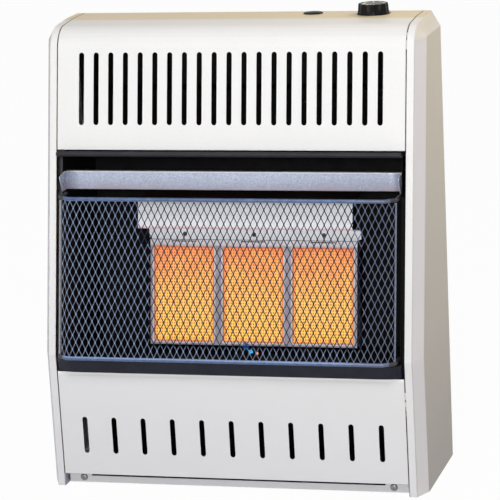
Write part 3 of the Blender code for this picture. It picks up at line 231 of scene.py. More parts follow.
def make_lamp(name, place, target, size, energy, colour):
    data = bpy.data.lights.new(name, "AREA")
    data.shape = "DISK"
    data.size = size
    data.energy = energy
    data.color = colour
    lamp = linked(name, data)
    lamp.location = place
    aim = Vector(target) - Vector(place)
    lamp.rotation_euler = aim.to_track_quat("-Z", "Y").to_euler()


def mesh_from(name, shape):
    mesh = bpy.data.meshes.new(name)
    shape.to_mesh(mesh)
    shape.free()
    return mesh


def seen(tree):
    """One where a ray comes from the camera, a reflection or glass."""
    path = tree.nodes.new("ShaderNodeLightPath")
    total = path.outputs["Is Camera Ray"]
    for label in ("Is Glossy Ray", "Is Transmission Ray"):
        join = tree.nodes.new("ShaderNodeMath")
        join.operation = "MAXIMUM"
        tree.links.new(total, join.inputs[0])
        tree.links.new(path.outputs[label], join.inputs[1])
        total = join.outputs[0]
    return total


def blend(tree, factor, first, second, out):
    """Two shaders mixed into a tree's output."""
    mix = tree.nodes.new("ShaderNodeMixShader")
    tree.links.new(factor, mix.inputs[0])
    tree.links.new(first.outputs[0], mix.inputs[1])
    tree.links.new(second.outputs[0], mix.inputs[2])
    tree.links.new(mix.outputs[0], tree.nodes.new(out).inputs["Surface"])


def make_world():
    world = bpy.data.worlds.new("studio")
    bpy.context.scene.world = world
    world.use_nodes = True
    tree = world.node_tree
    tree.nodes.clear()
    plain = tree.nodes.new("ShaderNodeBackground")
    plain.inputs["Color"].default_value = AMBIENT_COLOUR
    plain.inputs["Strength"].default_value = AMBIENT
    white = tree.nodes.new("ShaderNodeBackground")
    white.inputs["Color"].default_value = (1.0, 1.0, 1.0, 1.0)
    blend(tree, seen(tree), plain, white, "ShaderNodeOutputWorld")


def make_floor():
    """Pale floor that keeps the shadow and melts into the white background."""
    shape = bmesh.new()
    bmesh.ops.create_grid(shape, x_segments=2, y_segments=2, size=FLOOR_SIZE)
    mesh = mesh_from("floor", shape)
    floor = linked("floor", mesh)
    floor.location.z = -FLOOR_DROP
    material = bpy.data.materials.new("floor")
    material.use_nodes = True
    tree = material.node_tree
    tree.nodes.clear()
    matt = tree.nodes.new("ShaderNodeBsdfDiffuse")
    matt.inputs["Color"].default_value = (FLOOR_GREY, FLOOR_GREY, FLOOR_GREY, 1.0)
    glow = tree.nodes.new("ShaderNodeEmission")
    glow.inputs["Strength"].default_value = 1.0
    share = tree.nodes.new("ShaderNodeMath")
    share.operation = "MULTIPLY"
    share.inputs[1].default_value = FLOOR_GLOW
    tree.links.new(seen(tree), share.inputs[0])
    blend(tree, share.outputs[0], matt, glow, "ShaderNodeOutputMaterial")
    mesh.materials.append(material)


bpy.context.scene.view_settings.view_transform = "Standard"
make_camera()
make_world()
make_floor()
for lamp_name, lamp_values in LAMPS.items():
    make_lamp(lamp_name, *lamp_values)


# Finishes


def shade(colour, share):
    return tuple(channel * share for channel in colour)


class Finish:
    """One procedural material: a Principled BSDF fed by noise in the object's own space."""

    def __init__(self, name, colour, roughness, metallic=0.0, **sockets):
        self.material = bpy.data.materials.new(name)
        self.material.use_nodes = True
        self.tree = self.material.node_tree
        self.shader = self.tree.nodes["Principled BSDF"]
        sockets.update(Base_Color=(*colour, 1.0), Roughness=roughness, Metallic=metallic)
        for label, value in sockets.items():
            self.shader.inputs[label.replace("_", " ")].default_value = value
        self.place = self.tree.nodes.new("ShaderNodeTexCoord").outputs["Object"]
        self.normal = None

    def feed(self, socket, value):
        if hasattr(value, "is_linked"):
            self.tree.links.new(value, socket)
        else:
            socket.default_value = value

    def math(self, operation, first, second=0.0, third=0.0):
        node = self.tree.nodes.new("ShaderNodeMath")
        node.operation = operation
        for socket, value in zip(node.inputs, (first, second, third)):
            self.feed(socket, value)
        return node.outputs[0]

    def both(self, first, second):
        return self.math("MULTIPLY", first, second)

    def between(self, source, low, high):
        """One where a value lies in a range, nought elsewhere."""
        return self.math("COMPARE", source, (low + high) / 2, (high - low) / 2)

    def axis(self, index):
        node = self.tree.nodes.new("ShaderNodeSeparateXYZ")
        self.feed(node.inputs[0], self.place)
        return node.outputs[index]

    def noise(self, scale, detail=2.0, rough=0.5, stretch=(1.0, 1.0, 1.0)):
        stretched = self.tree.nodes.new("ShaderNodeMapping")
        stretched.inputs["Scale"].default_value = stretch
        self.feed(stretched.inputs["Vector"], self.place)
        node = self.tree.nodes.new("ShaderNodeTexNoise")
        self.feed(node.inputs["Vector"], stretched.outputs[0])
        node.inputs["Scale"].default_value = scale
        node.inputs["Detail"].default_value = detail
        node.inputs["Roughness"].default_value = rough
        return node.outputs["Fac"]

    def cells(self, scale):
        node = self.tree.nodes.new("ShaderNodeTexVoronoi")
        self.feed(node.inputs["Vector"], self.place)
        node.inputs["Scale"].default_value = scale
        return node.outputs["Color"]

    def spread(self, source, low, high, start=0.3, end=0.7):
        """A value carried from start..end to low..high."""
        node = self.tree.nodes.new("ShaderNodeMapRange")
        for label, value in (
            ("Value", source), ("From Min", start), ("From Max", end), ("To Min", low), ("To Max", high),
        ):
            self.feed(node.inputs[label], value)
        return node.outputs[0]

    def above(self, source, start, end):
        """Nought up to start and one from end on."""
        return self.spread(source, 0.0, 1.0, start, end)

    def ramp(self, source, *stops):
        """Colours along a value, as (place, colour) pairs."""
        node = self.tree.nodes.new("ShaderNodeValToRGB")
        self.feed(node.inputs[0], source)
        ramp = node.color_ramp
        while len(ramp.elements) < len(stops):
            ramp.elements.new(0.5)
        for element, (place, colour) in zip(ramp.elements, stops):
            element.position = place
            element.color = (*colour, 1.0)
        return node.outputs[0]

    def clouds(self, base, dark, pale, scale, detail=2.0, rough=0.5):
        """A colour that drifts between a darker and a paler shade."""
        drift = self.noise(scale, detail, rough)
        return self.ramp(drift, (0.3, shade(base, dark)), (0.7, shade(base, pale)))

    def mix(self, factor, first, second, blend="MIX"):
        node = self.tree.nodes.new("ShaderNodeMix")
        node.data_type = "RGBA"
        node.blend_type = blend
        for index, value in ((0, factor), (6, first), (7, second)):
            self.feed(node.inputs[index], (*value, 1.0) if isinstance(value, tuple) else value)
        return node.outputs[2]

    def colour(self, source):
        self.feed(self.shader.inputs["Base Color"], source)

    def uneven_gloss(self, low, high, scale, detail=2.0):
        """Roughness that drifts between two values."""
        self.feed(self.shader.inputs["Roughness"], self.spread(self.noise(scale, detail), low, high))

    def bump(self, source, distance, strength=1.0):
        node = self.tree.nodes.new("ShaderNodeBump")
        node.inputs["Strength"].default_value = strength
        node.inputs["Distance"].default_value = distance
        self.feed(node.inputs["Height"], source)
        if self.normal is not None:
            self.feed(node.inputs["Normal"], self.normal)
        self.normal = node.outputs[0]
        self.feed(self.shader.inputs["Normal"], self.normal)

    def glow(self, source, strength):
        self.feed(self.shader.inputs["Emission Color"], source)
        self.shader.inputs["Emission Strength"].default_value = strength


def mottled(name, colour, roughness, metallic, scale=60.0, depth=0.12, bump=0.00003, **sockets):
    """Plain metal or plastic: soft cloudy colour, fine grain and uneven gloss."""
    finish = Finish(name, colour, roughness, metallic, **sockets)
    finish.colour(finish.clouds(colour, 1 - depth, 1 + depth / 2, scale, 4.0, 0.6))
    finish.uneven_gloss(roughness - 0.06, roughness + 0.08, scale * 3)
    finish.bump(finish.noise(scale * 25), bump)
    return finish.material


def behind_front(finish, across):
    """How far a point lies behind the slanting front and the chamfers beside it."""
    height = finish.axis(2)
    over = finish.math("MULTIPLY_ADD", height, -UPPER_LEAN, BEND_DEPTH + UPPER_LEAN * BEND_HEIGHT)
    under = finish.math("MULTIPLY_ADD", height, LOWER_LEAN, BASE_DEPTH)
    front = finish.math("MINIMUM", over, under)
    inward = finish.math("ADD", front, finish.math("SUBTRACT", finish.axis(1), REAR_Y))
    beyond = finish.math("MAXIMUM", finish.math("SUBTRACT", across, CHAMFER_HALF), 0.0)
    return finish.math("SUBTRACT", inward, finish.both(beyond, CHAMFER_SLANT))


def speckled_and_shaded(finish, coat, base):
    """Fine speckle, painted shade darkening towards the foot and painted warm shade yellowing the top face.
    """
    height = finish.axis(2)
    speck = finish.above(finish.noise(1500.0, 1.0), 0.60, 0.72)
    coat = finish.mix(speck, coat, shade(base, 0.90))
    # Painted shade: the paint darkens towards the foot.
    foot_shade = finish.spread(height, 1.0, 0.0, 0.0, FOOT_SHADE_TOP)
    coat = finish.mix(foot_shade, coat, (0.755, 0.750, 0.765))
    # Painted warm shade: the top face is yellowed and darkened.
    heat = finish.above(height, HEIGHT - 0.0012, HEIGHT - 0.0003)
    return finish.mix(heat, coat, (0.780, 0.655, 0.430))


def painted_inside_shade(finish, coat, across, setback):
    """Painted shade: black on the faces that turn to the inside of the cabinet."""
    inner = finish.above(behind_front(finish, across), setback + 0.0004, setback + 0.0008)
    inner = finish.both(inner, finish.math("LESS_THAN", across, SIDE_FROM))
    inner = finish.both(inner, finish.math("LESS_THAN", finish.axis(2), INSIDE_TOP))
    return finish.mix(inner, coat, (0.012, 0.013, 0.017))


def painted_side_shade(finish, coat, across):
    """Painted shade: sides yellowed and darkened towards the foot, chamfers tinted cool grey with painted
    warm shade at their top corners.
    """
    height = finish.axis(2)
    side = finish.math("GREATER_THAN", across, SIDE_FROM)
    # Painted shade on the sides, darker and yellower towards the foot.
    stops = [(0.03, (0.680, 0.640, 0.600)), (0.20, (0.900, 0.850, 0.790)), (0.50, (1.000, 0.970, 0.870))]
    coat = finish.mix(side, coat, finish.ramp(height, *stops), "MULTIPLY")
    # Painted shade tints the chamfers cool grey, with painted warm shade at their top corners.
    slanted = finish.math("GREATER_THAN", across, CHAMFER_HALF + 0.0010)
    slanted = finish.both(slanted, finish.math("LESS_THAN", across, SIDE_FROM))
    corner = finish.above(height, CORNER_LOW, CORNER_HIGH)
    return finish.mix(slanted, coat, finish.mix(corner, (0.935, 0.918, 0.950), (0.830, 0.800, 0.735)))


def lip_highlight_and_seam_shade(finish, coat, across):
    """A painted highlight on the lip on top of the lower panel and brown painted shade in and beside the
    seams by the covers.
    """
    height = finish.axis(2)
    # Painted highlight along the lower panel's top lip.
    lip = finish.above(height, PANEL_TOP - 0.0050, PANEL_TOP - 0.0010)
    lip = finish.both(lip, finish.math("LESS_THAN", height, PANEL_TOP + 0.0005))
    lip = finish.both(lip, finish.math("LESS_THAN", across, OPENING_HALF - SEAM))
    coat = finish.mix(lip, coat, (0.985, 0.982, 0.975))
    # Painted shade in the seam gaps, spilling a little onto the faces beside them.
    seam_shade_spill = 0.0004
    seam = finish.between(across, OPENING_HALF - SEAM - seam_shade_spill, OPENING_HALF + seam_shade_spill)
    return finish.mix(seam, coat, (0.300, 0.250, 0.220))


def paint(name, setback):
    """Ivory powder coat with orange peel; its front lies a setback behind the cabinet's."""
    base = (0.868, 0.862, 0.850)
    finish = Finish(name, base, 0.42, 0.0, Specular_IOR_Level=0.30)
    across = finish.math("ABSOLUTE", finish.axis(0))
    coat = speckled_and_shaded(finish, finish.clouds(base, 0.985, 1.01, 9.0, 3.0), base)
    coat = painted_inside_shade(finish, coat, across, setback)
    coat = painted_side_shade(finish, coat, across)
    finish.colour(lip_highlight_and_seam_shade(finish, coat, across))
    finish.uneven_gloss(0.36, 0.50, 420.0)
    finish.bump(finish.noise(520.0, 2.0, 0.6), 0.00007, 0.7)
    finish.bump(finish.noise(2100.0, 1.0), 0.00002, 0.5)
    return finish.material


def enamel(name, colour, roughness, gloss):
    finish = Finish(name, colour, roughness, 0.0, Specular_IOR_Level=gloss)
    cloud = finish.noise(34.0, 4.0, 0.6, (1.0, 1.0, 0.4))
    finish.colour(finish.ramp(cloud, (0.35, shade(colour, 0.75)), (0.7, shade(colour, 1.25))))
    finish.uneven_gloss(roughness - 0.08, roughness + 0.1, 90.0, 3.0)
    finish.bump(finish.noise(900.0), 0.00004, 0.6)
    return finish.material


def galvanised():
    """Zinc sheet: spangles, a grain, a painted highlight along the top edge, painted shade towards the right
    end and a heat tint below.
    """
    base = (0.435, 0.480, 0.600)
    finish = Finish("galvanised_sheet", base, 0.42, 0.25)
    height = finish.axis(2)
    grain = finish.noise(700.0, 3.0, 0.8)
    grain = finish.ramp(grain, (0.36, shade(base, 0.66)), (0.64, shade(base, 1.38)))
    spangle = finish.ramp(finish.cells(130.0), (0.0, shade(base, 0.90)), (1.0, shade(base, 1.08)))
    sheet = finish.mix(0.30, grain, spangle)
    # Painted highlight along the rolled top edge.
    top_highlight = finish.above(height, DEFLECTOR_TOP - 0.0016, DEFLECTOR_TOP - 0.0010)
    sheet = finish.mix(top_highlight, sheet, (0.800, 0.815, 0.870))
    # Painted shade: darker towards the right end.
    end = finish.above(finish.axis(0), 0.05, 0.21)
    sheet = finish.mix(end, sheet, (0.80, 0.79, 0.80), "MULTIPLY")
    heat = finish.spread(height, 1.0, 0.0, DEFLECTOR_BOTTOM + 0.001, DEFLECTOR_BOTTOM + 0.012)
    heat = finish.both(heat, finish.spread(finish.noise(26.0, 3.0), 0.25, 0.85))
    finish.colour(finish.mix(heat, sheet, (0.400, 0.335, 0.390)))
    finish.uneven_gloss(0.36, 0.54, 240.0, 3.0)
    finish.bump(finish.noise(1300.0), 0.00003)
    return finish.material


def guard_zinc(name, base, painted_shade_from):
    """Zinc wire with a painted highlight at the bonds and painted shade before the burner, towards the right
    end and where it turns back.
    """
    finish = Finish(name, base, 0.38, 0.30)
    height, across = finish.axis(2), finish.axis(0)
    cloud = finish.noise(160.0, 4.0, 0.65)
    strand = finish.ramp(cloud, (0.3, shade(base, 0.60)), (0.55, base), (0.75, shade(base, 1.35)))
    half_row = (GUARD_TOP - GUARD_BOTTOM - 2 * ROD_RADIUS) / (4 * MESH_ROWS)
    phase = finish.math("SUBTRACT", height, GUARD_BOTTOM + ROD_RADIUS)
    phase = finish.math("ABSOLUTE", finish.math("WRAP", phase, half_row, -half_row))
    # Painted highlight at the bonds.
    bond = finish.spread(phase, 0.7, 0.0, MESH_BOND / 2 - 0.0002, MESH_BOND / 2 + 0.0006)
    strand = finish.mix(bond, strand, (0.330, 0.440, 0.700))
    # Painted shade: darker towards the right end.
    right = finish.spread(across, 0.0, 0.75, 0.150, 0.190)
    strand = finish.mix(right, strand, (0.115, 0.130, 0.190))
    # Painted shade on the strands in front of the burner and the reflector.
    for heights, widths in STRAND_SHADE_PLACES:
        hot = finish.both(finish.between(height, *heights), finish.between(across, *widths))
        strand = finish.mix(hot, strand, (0.010, 0.016, 0.045))
    # Painted shade where the guard turns back.
    back = finish.spread(finish.math("ABSOLUTE", across), 0.0, 0.9, painted_shade_from, painted_shade_from + 0.002)
    finish.colour(finish.mix(back, strand, (0.026, 0.020, 0.018)))
    finish.uneven_gloss(0.28, 0.50, 500.0)
    finish.bump(finish.noise(1800.0), 0.00003)
    return finish.material


def rear_sheet():
    """Aluminised sheet, painted black as painted shade on the side that faces the firebox."""
    base = (0.560, 0.565, 0.600)
    finish = Finish("rear_sheet", base, 0.44, 0.55)
    cloud = finish.clouds(base, 0.86, 1.08, 46.0, 5.0, 0.65)
    sheet = finish.mix(0.4, cloud, finish.clouds(base, 0.90, 1.08, 900.0))
    # Painted shade: the side that faces the firebox is black.
    inner = finish.spread(finish.axis(1), 1.0, 0.0, REAR_Y - 0.0009, REAR_Y - 0.0006)
    finish.colour(finish.mix(inner, sheet, (0.006, 0.005, 0.005)))
    finish.uneven_gloss(0.38, 0.56, 160.0, 3.0)
    finish.bump(finish.noise(1200.0), 0.00003)
    return finish.material


def burner_band():
    """Frame of the burner: grey-mauve between the plaques, with a painted highlight along its top edge."""
    base = (0.420, 0.385, 0.450)
    finish = Finish("frame_band_steel", base, 0.45, 0.10)
    cloud = finish.clouds(base, 0.82, 1.10, 70.0, 4.0, 0.6)
    top = BURNER_MID.z + (WINDOW_HALF_TALL - WINDOW_DROP) * math.cos(BURNER_TILT)
    # Painted highlight along the frame's top edge.
    bright = finish.above(finish.axis(2), top + 0.0005, top + 0.0030)
    finish.colour(finish.mix(bright, cloud, (0.900, 0.880, 0.930)))
    finish.bump(finish.noise(900.0), 0.00003)
    return finish.material


def reflector():
    """Bright sheet with a painted glow for the light on it, a painted pink glow from the tiles along its
    lower lip, and a sooty roof in painted shade.
    """
    base = (0.930, 0.935, 0.960)
    finish = Finish("reflector_grain_and_painted_light", base, 0.36, 0.0)
    height = finish.axis(2)
    grain = finish.noise(500.0, 3.0, 0.6, (0.15, 1.0, 1.0))
    sheet = finish.ramp(grain, (0.3, shade(base, 0.93)), (0.7, shade(base, 1.05)))
    low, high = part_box("upper_reflector")
    edge = low.z + (high.z - low.z) * 0.345
    # Painted light: pink glow from the tiles along the lower lip.
    heat = finish.spread(height, 1.0, 0.0, edge - 0.001, edge + 0.0030)
    heat = finish.both(heat, finish.math("GREATER_THAN", height, edge - 0.0022))
    heat = finish.both(heat, finish.spread(finish.noise(40.0), 0.55, 1.0))
    sheet = finish.mix(heat, sheet, (0.620, 0.180, 0.190))
    # Painted shade on the roof, streaked dark brown with soot.
    soot_and_shade = finish.above(height, ROOF_SHADE_HEIGHT, ROOF_SHADE_HEIGHT + 0.001)
    streak = finish.noise(60.0, 3.0, 0.6, (0.12, 1.0, 1.0))
    streak = finish.ramp(streak, (0.35, (0.006, 0.004, 0.004)), (0.7, (0.030, 0.015, 0.012)))
    finish.colour(finish.mix(soot_and_shade, sheet, streak))
    # Painted light: a faint cool glow on the sheet below the roof.
    finish.glow(finish.mix(soot_and_shade, (0.90, 0.92, 1.0), (0.0, 0.0, 0.0)), 0.14)
    finish.uneven_gloss(0.30, 0.46, 90.0, 3.0)
    finish.bump(finish.noise(70.0), 0.00012, 0.5)
    return finish.material


def plaque_glow():
    """Lit ceramic: red-orange border, yellower towards the foot, rows of fine dark holes."""
    finish = Finish("lit_ceramic", (0.300, 0.140, 0.070), 0.85, 0.0, Specular_IOR_Level=0.1)
    up = finish.math("SUBTRACT", finish.axis(2), BURNER_MID.z)
    up = finish.math("MULTIPLY_ADD", up, 1 / math.cos(BURNER_TILT), WINDOW_DROP)
    across = finish.math("WRAP", finish.axis(0), PLAQUE_PITCH / 2, -PLAQUE_PITCH / 2)
    height = finish.above(up, -WINDOW_HALF_TALL, WINDOW_HALF_TALL)
    height = finish.math("ADD", height, finish.spread(finish.noise(38.0, 4.0, 0.6), -0.16, 0.16))
    stops = [(0.00, (0.98, 0.60, 0.095)), (0.35, (0.98, 0.62, 0.140)), (0.62, (0.96, 0.52, 0.125))]
    stops += [(0.85, (0.93, 0.38, 0.105)), (1.00, (0.88, 0.29, 0.095))]
    heat = finish.ramp(height, *stops)
    side = finish.math("SUBTRACT", WINDOW_HALF, finish.math("ABSOLUTE", across))
    end = finish.math("SUBTRACT", WINDOW_HALF_TALL, finish.math("ABSOLUTE", up))
    border = finish.spread(finish.math("MINIMUM", side, end), 0.9, 0.0, 0.0004, 0.0040)
    lit = finish.mix(border, heat, (0.760, 0.110, 0.030))
    turn = math.pi / HOLE_PITCH
    across_wave = finish.math("COSINE", finish.both(across, turn))
    up_wave = finish.math("COSINE", finish.both(up, turn * 0.866))
    lattice = finish.math("ABSOLUTE", finish.both(across_wave, up_wave))
    hole = finish.above(lattice, 0.42, 0.68)
    patch = finish.spread(finish.noise(90.0), 0.6, 1.0)
    finish.glow(finish.mix(finish.both(hole, patch), lit, (0.330, 0.050, 0.015)), 1.00)
    finish.bump(lattice, 0.0006, 0.5)
    return finish.material


def screw_head():
    """Plated pan head with painted shade: darker where its rim turns away from the front."""
    finish = Finish("plated_pan_head", (0.400, 0.400, 0.430), 0.34, 0.35)
    normal = finish.tree.nodes.new("ShaderNodeTexCoord").outputs["Normal"]
    parts = finish.tree.nodes.new("ShaderNodeSeparateXYZ")
    finish.feed(parts.inputs[0], normal)
    facing = finish.both(parts.outputs[1], -1.0)
    finish.colour(finish.ramp(facing, (0.55, (0.020, 0.020, 0.023)), (0.93, (0.340, 0.340, 0.365))))
    finish.uneven_gloss(0.28, 0.42, 900.0)
    return finish.material


def glass_flame(name, colour, strength, clear):
    """Faint burning gas: light from the shell, seen through."""
    finish = Finish(name, colour, 0.9, 0.0, Specular_IOR_Level=0.0)
    flicker = finish.ramp(finish.noise(300.0), (0.3, shade(colour, 0.7)), (0.7, colour))
    finish.glow(flicker, strength)
    finish.shader.inputs["Alpha"].default_value = clear
    return finish.material


LOOKS = {
    "paint": paint("ivory_powder_coat", 0.0),
    "pan paint": paint("ivory_powder_coat_pan", PAN_SETBACK),
    "enamel": enamel("black_enamel", (0.0040, 0.0034, 0.0034), 0.66, 0.10),
    "rail": enamel("rail_enamel", (0.022, 0.021, 0.028), 0.45, 0.22),
    "apron": enamel("apron_enamel", (0.0115, 0.0130, 0.0255), 0.45, 0.15),
    "zinc": galvanised(),
    "strand": guard_zinc("zinc_strands", (0.165, 0.205, 0.290), 0.2300),
    "rod": guard_zinc("zinc_rods", (0.095, 0.150, 0.285), 0.2150),
    "rear": rear_sheet(),
    "return": mottled("shaded_return", (0.370, 0.380, 0.470), 0.50, 0.0),
    "edge": mottled("liner_edge_steel", (0.300, 0.300, 0.300), 0.45, 0.0, 90.0, 0.16),
    "reflector": reflector(),
    # Painted light: the clamp strip glows faintly to stand in for the light on it.
    "strip": mottled(
        "clamp_strip_steel_painted_glow", (0.930, 0.935, 0.960), 0.40, 0.0, 40.0, 0.04,
        Emission_Color=(0.90, 0.92, 1.0, 1.0), Emission_Strength=0.14,
    ),
    "rim": mottled("frame_rim_steel", (0.860, 0.800, 0.840), 0.40, 0.0, 70.0, 0.14),
    "band": burner_band(),
    "plaque": plaque_glow(),
    "steel": mottled("plated_steel", (0.340, 0.340, 0.370), 0.34, 0.70, 120.0, 0.10),
    "brass": mottled("brass", (0.600, 0.420, 0.160), 0.34, 1.0, 90.0, 0.14),
    "cast": mottled("die_cast", (0.330, 0.330, 0.345), 0.52, 0.70, 110.0, 0.14, 0.00010),
    "pan head": screw_head(),
    "screw": mottled("sooty_screw", (0.110, 0.085, 0.080), 0.50, 0.60, 400.0, 0.30),
    "black": mottled(
        "black_plastic", (0.0055, 0.0046, 0.0042), 0.36, 0.0, 90.0, 0.20, 0.00004,
        Specular_IOR_Level=0.10,
    ),
    "cap": mottled("knob_cap", (0.115, 0.098, 0.082), 0.50, 0.0, 160.0, 0.25, 0.00005),
    "mark": mottled("knob_marks", (0.800, 0.790, 0.740), 0.55, 0.0, 300.0, 0.08),
    "pipe": mottled("oiled_pipe", (0.016, 0.016, 0.018), 0.70, 0.0, 120.0, 0.25, Specular_IOR_Level=0.08),
    # Black for sooty parts, also used as painted shade on the rear laps and the right liner edge.
    "soot_and_shade": mottled("sooty_sheet_and_painted_shade", (0.010, 0.009, 0.009), 0.75, 0.0, 60.0, 0.35, Specular_IOR_Level=0.06),
    "box": mottled("burner_box_steel", (0.150, 0.138, 0.145), 0.60, 0.0, 60.0, 0.30, Specular_IOR_Level=0.20),
    "red": mottled("red_dab", (0.420, 0.030, 0.022), 0.58, 0.0, 220.0, 0.18),
    "flame": glass_flame("pilot_blue", (0.020, 0.330, 0.620), 1.4, 0.75),
    "haze": glass_flame("pilot_haze", (0.010, 0.070, 0.280), 0.9, 0.35),
    "ember": glass_flame("pilot_orange", (0.900, 0.260, 0.040), 1.2, 0.85),
}


# Modelling helpers


def adopt(name, mesh, look, body="cabinet", replaces=(), slot=None):
    """Link a finished mesh or curve as a piece of the object."""
    piece = linked(name, mesh)
    mesh.materials.append(LOOKS[look])
    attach(piece, body)
    if replaces:
        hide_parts(*replaces)
    return piece


def smoothed(mesh, angle):
    """Smooth shading between edges sharper than an angle in degrees."""
    mesh.shade_smooth()
    mesh.set_sharp_from_angle(angle=math.radians(angle))


def shape_mesh(name, shape, smooth=True):
    bmesh.ops.remove_doubles(shape, verts=shape.verts, dist=1e-7)
    bmesh.ops.recalc_face_normals(shape, faces=shape.faces)
    mesh = mesh_from(name, shape)
    if smooth:
        smoothed(mesh, 38)
    return mesh


def shaped(name, shape, look, smooth=True, **role):
    """A shape made into a piece of the object."""
    return adopt(name, shape_mesh(name, shape, smooth), look, **role)


def skin(shape, rows, closed=False):
    """Faces between neighbouring rows of vertices; a pole is a row of one vertex, repeated."""
    for first, second in zip(rows, rows[1:]):
        if closed:
            first, second = first + first[:1], second + second[:1]
        for patch in zip(first, first[1:], second[1:], second):
            shape.faces.new(tuple(dict.fromkeys(patch)))


def lathe(shape, profile, centre, steps, axis=UP):
    """Turn a (radius, height) profile round an axis through a centre."""
    turn = axis.to_track_quat("Z", "Y").to_matrix()
    rings = []
    for radius, height in profile:
        if radius < 1e-6:
            rings.append([shape.verts.new(centre + turn @ Vector((0, 0, height)))] * steps)
            continue
        ring = []
        for step in range(steps):
            angle = 2 * math.pi * step / steps
            spoke = Vector((radius * math.cos(angle), radius * math.sin(angle), height))
            ring.append(shape.verts.new(centre + turn @ spoke))
        rings.append(ring)
    skin(shape, rings, closed=True)
    return rings


def turned(name, profile, centre, steps, axis, look, *place, **role):
    """A lathed piece of the object."""
    shape = bmesh.new()
    lathe(shape, profile, centre, steps, axis)
    return adopt(name, shape_mesh(name, shape), look, *place, **role)


def arc(depth, height, radius, first, last, steps):
    """Points of an arc in depth and height, between two angles in degrees."""
    out = []
    for step in range(steps + 1):
        angle = math.radians(first + (last - first) * step / steps)
        out.append((depth + radius * math.cos(angle), height + radius * math.sin(angle)))
    return out


def path_length(places):
    return sum((after - before).length for before, after in zip(places, places[1:]))


def filleted(places, radius, steps):
    """The same path with its corners rounded."""
    out = [places[0]]
    for before, corner, after in zip(places, places[1:], places[2:]):
        back, ahead = (before - corner).normalized(), (after - corner).normalized()
        half = back.angle(ahead) / 2
        room = min((before - corner).length, (after - corner).length) / 2.1
        reach = min(radius / math.tan(half), room)
        centre = corner + (back + ahead).normalized() * reach / math.cos(half)
        start, end = corner + back * reach, corner + ahead * reach
        for step in range(steps + 1):
            share = step / steps
            spoke = (start - centre).lerp(end - centre, share)
            out.append(centre + spoke.normalized() * (start - centre).length)
    return out + [places[-1]]


def curve_data(name, radius, resolution):
    curve = bpy.data.curves.new(name, "CURVE")
    curve.dimensions = "3D"
    curve.bevel_depth = radius
    curve.bevel_resolution = resolution
    curve.use_fill_caps = True
    return curve


def add_run(curve, places):
    run = curve.splines.new("POLY")
    run.points.add(len(places) - 1)
    for vertex, place in zip(run.points, places):
        vertex.co = (*place, 1.0)


def evaluated(piece):
    graph = bpy.context.evaluated_depsgraph_get()
    return bpy.data.meshes.new_from_object(piece.evaluated_get(graph))


def as_mesh(name, curve):
    """A curve turned into a plain mesh."""
    holder = linked(name, curve)
    mesh = evaluated(holder)
    bpy.data.objects.remove(holder, do_unlink=True)
    mesh.name = name
    mesh.materials.clear()
    smoothed(mesh, 50)
    return mesh


def box_into(shape, low, high, turn=None, about=None):
    """A box between two corners, turned about a point where that is given."""
    size, middle = Vector(high) - Vector(low), (Vector(high) + Vector(low)) / 2
    for vert in bmesh.ops.create_cube(shape, size=1.0)["verts"]:
        vert.co = Vector((vert.co.x * size.x, vert.co.y * size.y, vert.co.z * size.z)) + middle
        if turn is not None:
            vert.co = about + turn @ (vert.co - about)


def soften(piece, width):
    """Rounded edges on a piece, kept as a modifier."""
    bevel = piece.modifiers.new("edges", "BEVEL")
    bevel.width = width
    bevel.segments = 2
    bevel.limit_method = "ANGLE"
    bevel.angle_limit = math.radians(32)
    bevel.harden_normals = True


# Guard


def guard_path(height, legs):
    """Plan of the guard at a height: the bowed front, its returns and, on a rod, the legs."""
    front = slope_depth(height) + GUARD_STAND_OFF
    ends = [(GUARD_HALF, front - GUARD_RETURN), (GUARD_FRONT_HALF, front)]
    if legs:
        ends.insert(0, (GUARD_HALF, slope_depth(height) - GUARD_LEG_INSIDE))
    plan = [(-x, depth) for x, depth in ends] + list(reversed(ends))
    return [point(x, depth, height) for x, depth in plan]


def along(places, distance):
    for start, end in zip(places, places[1:]):
        run = (end - start).length
        if distance <= run:
            return start + (end - start) * distance / run
        distance -= run
    return places[-1].copy()


def make_mesh_guard():
    """Expanded metal: slit sheet pulled into diamonds, each strand a zigzag with upright bonds."""
    low = GUARD_BOTTOM + ROD_RADIUS
    high = GUARD_TOP - ROD_RADIUS
    rows = 2 * MESH_ROWS
    half_row = (high - low) / rows
    margin = STRAND_RADIUS + STRAND_APART
    paths = {}

    def place(column, height):
        key = round(height, 6)
        if key not in paths:
            path = filleted(guard_path(height, False), ROD_BEND, 4)
            paths[key] = (path, path_length(path) - 2 * margin)
        path, run = paths[key]
        return along(path, margin + run * column / (2 * MESH_COLUMNS))

    curve = curve_data("guard_net", STRAND_RADIUS, 0)
    shift = STRAND_APART * 2 * MESH_COLUMNS / path_length(guard_path(GUARD_BOTTOM, False))
    for column in range(2 * MESH_COLUMNS):
        places = []
        for row in range(rows + 1):
            middle = low + half_row * row
            left = (column + row) % 2 == 0
            where = column + shift if left else column + 1 - shift
            for step in (-1, 1):
                height = min(high, max(low, middle + step * MESH_BOND / 2))
                places.append(place(where, height))
        add_run(curve, places)
    adopt("guard_net", as_mesh("guard_net", curve), "strand", replaces=("guard_mesh",))


def make_guard_rods():
    for label, height in (("top", GUARD_TOP), ("bottom", GUARD_BOTTOM)):
        name = "guard_bar_" + label
        curve = curve_data(name, ROD_RADIUS, 6)
        add_run(curve, filleted(guard_path(height, True), ROD_BEND, 8))
        adopt(name, as_mesh(name, curve), "rod", replaces=("guard_rod_" + label,))


# Deflector


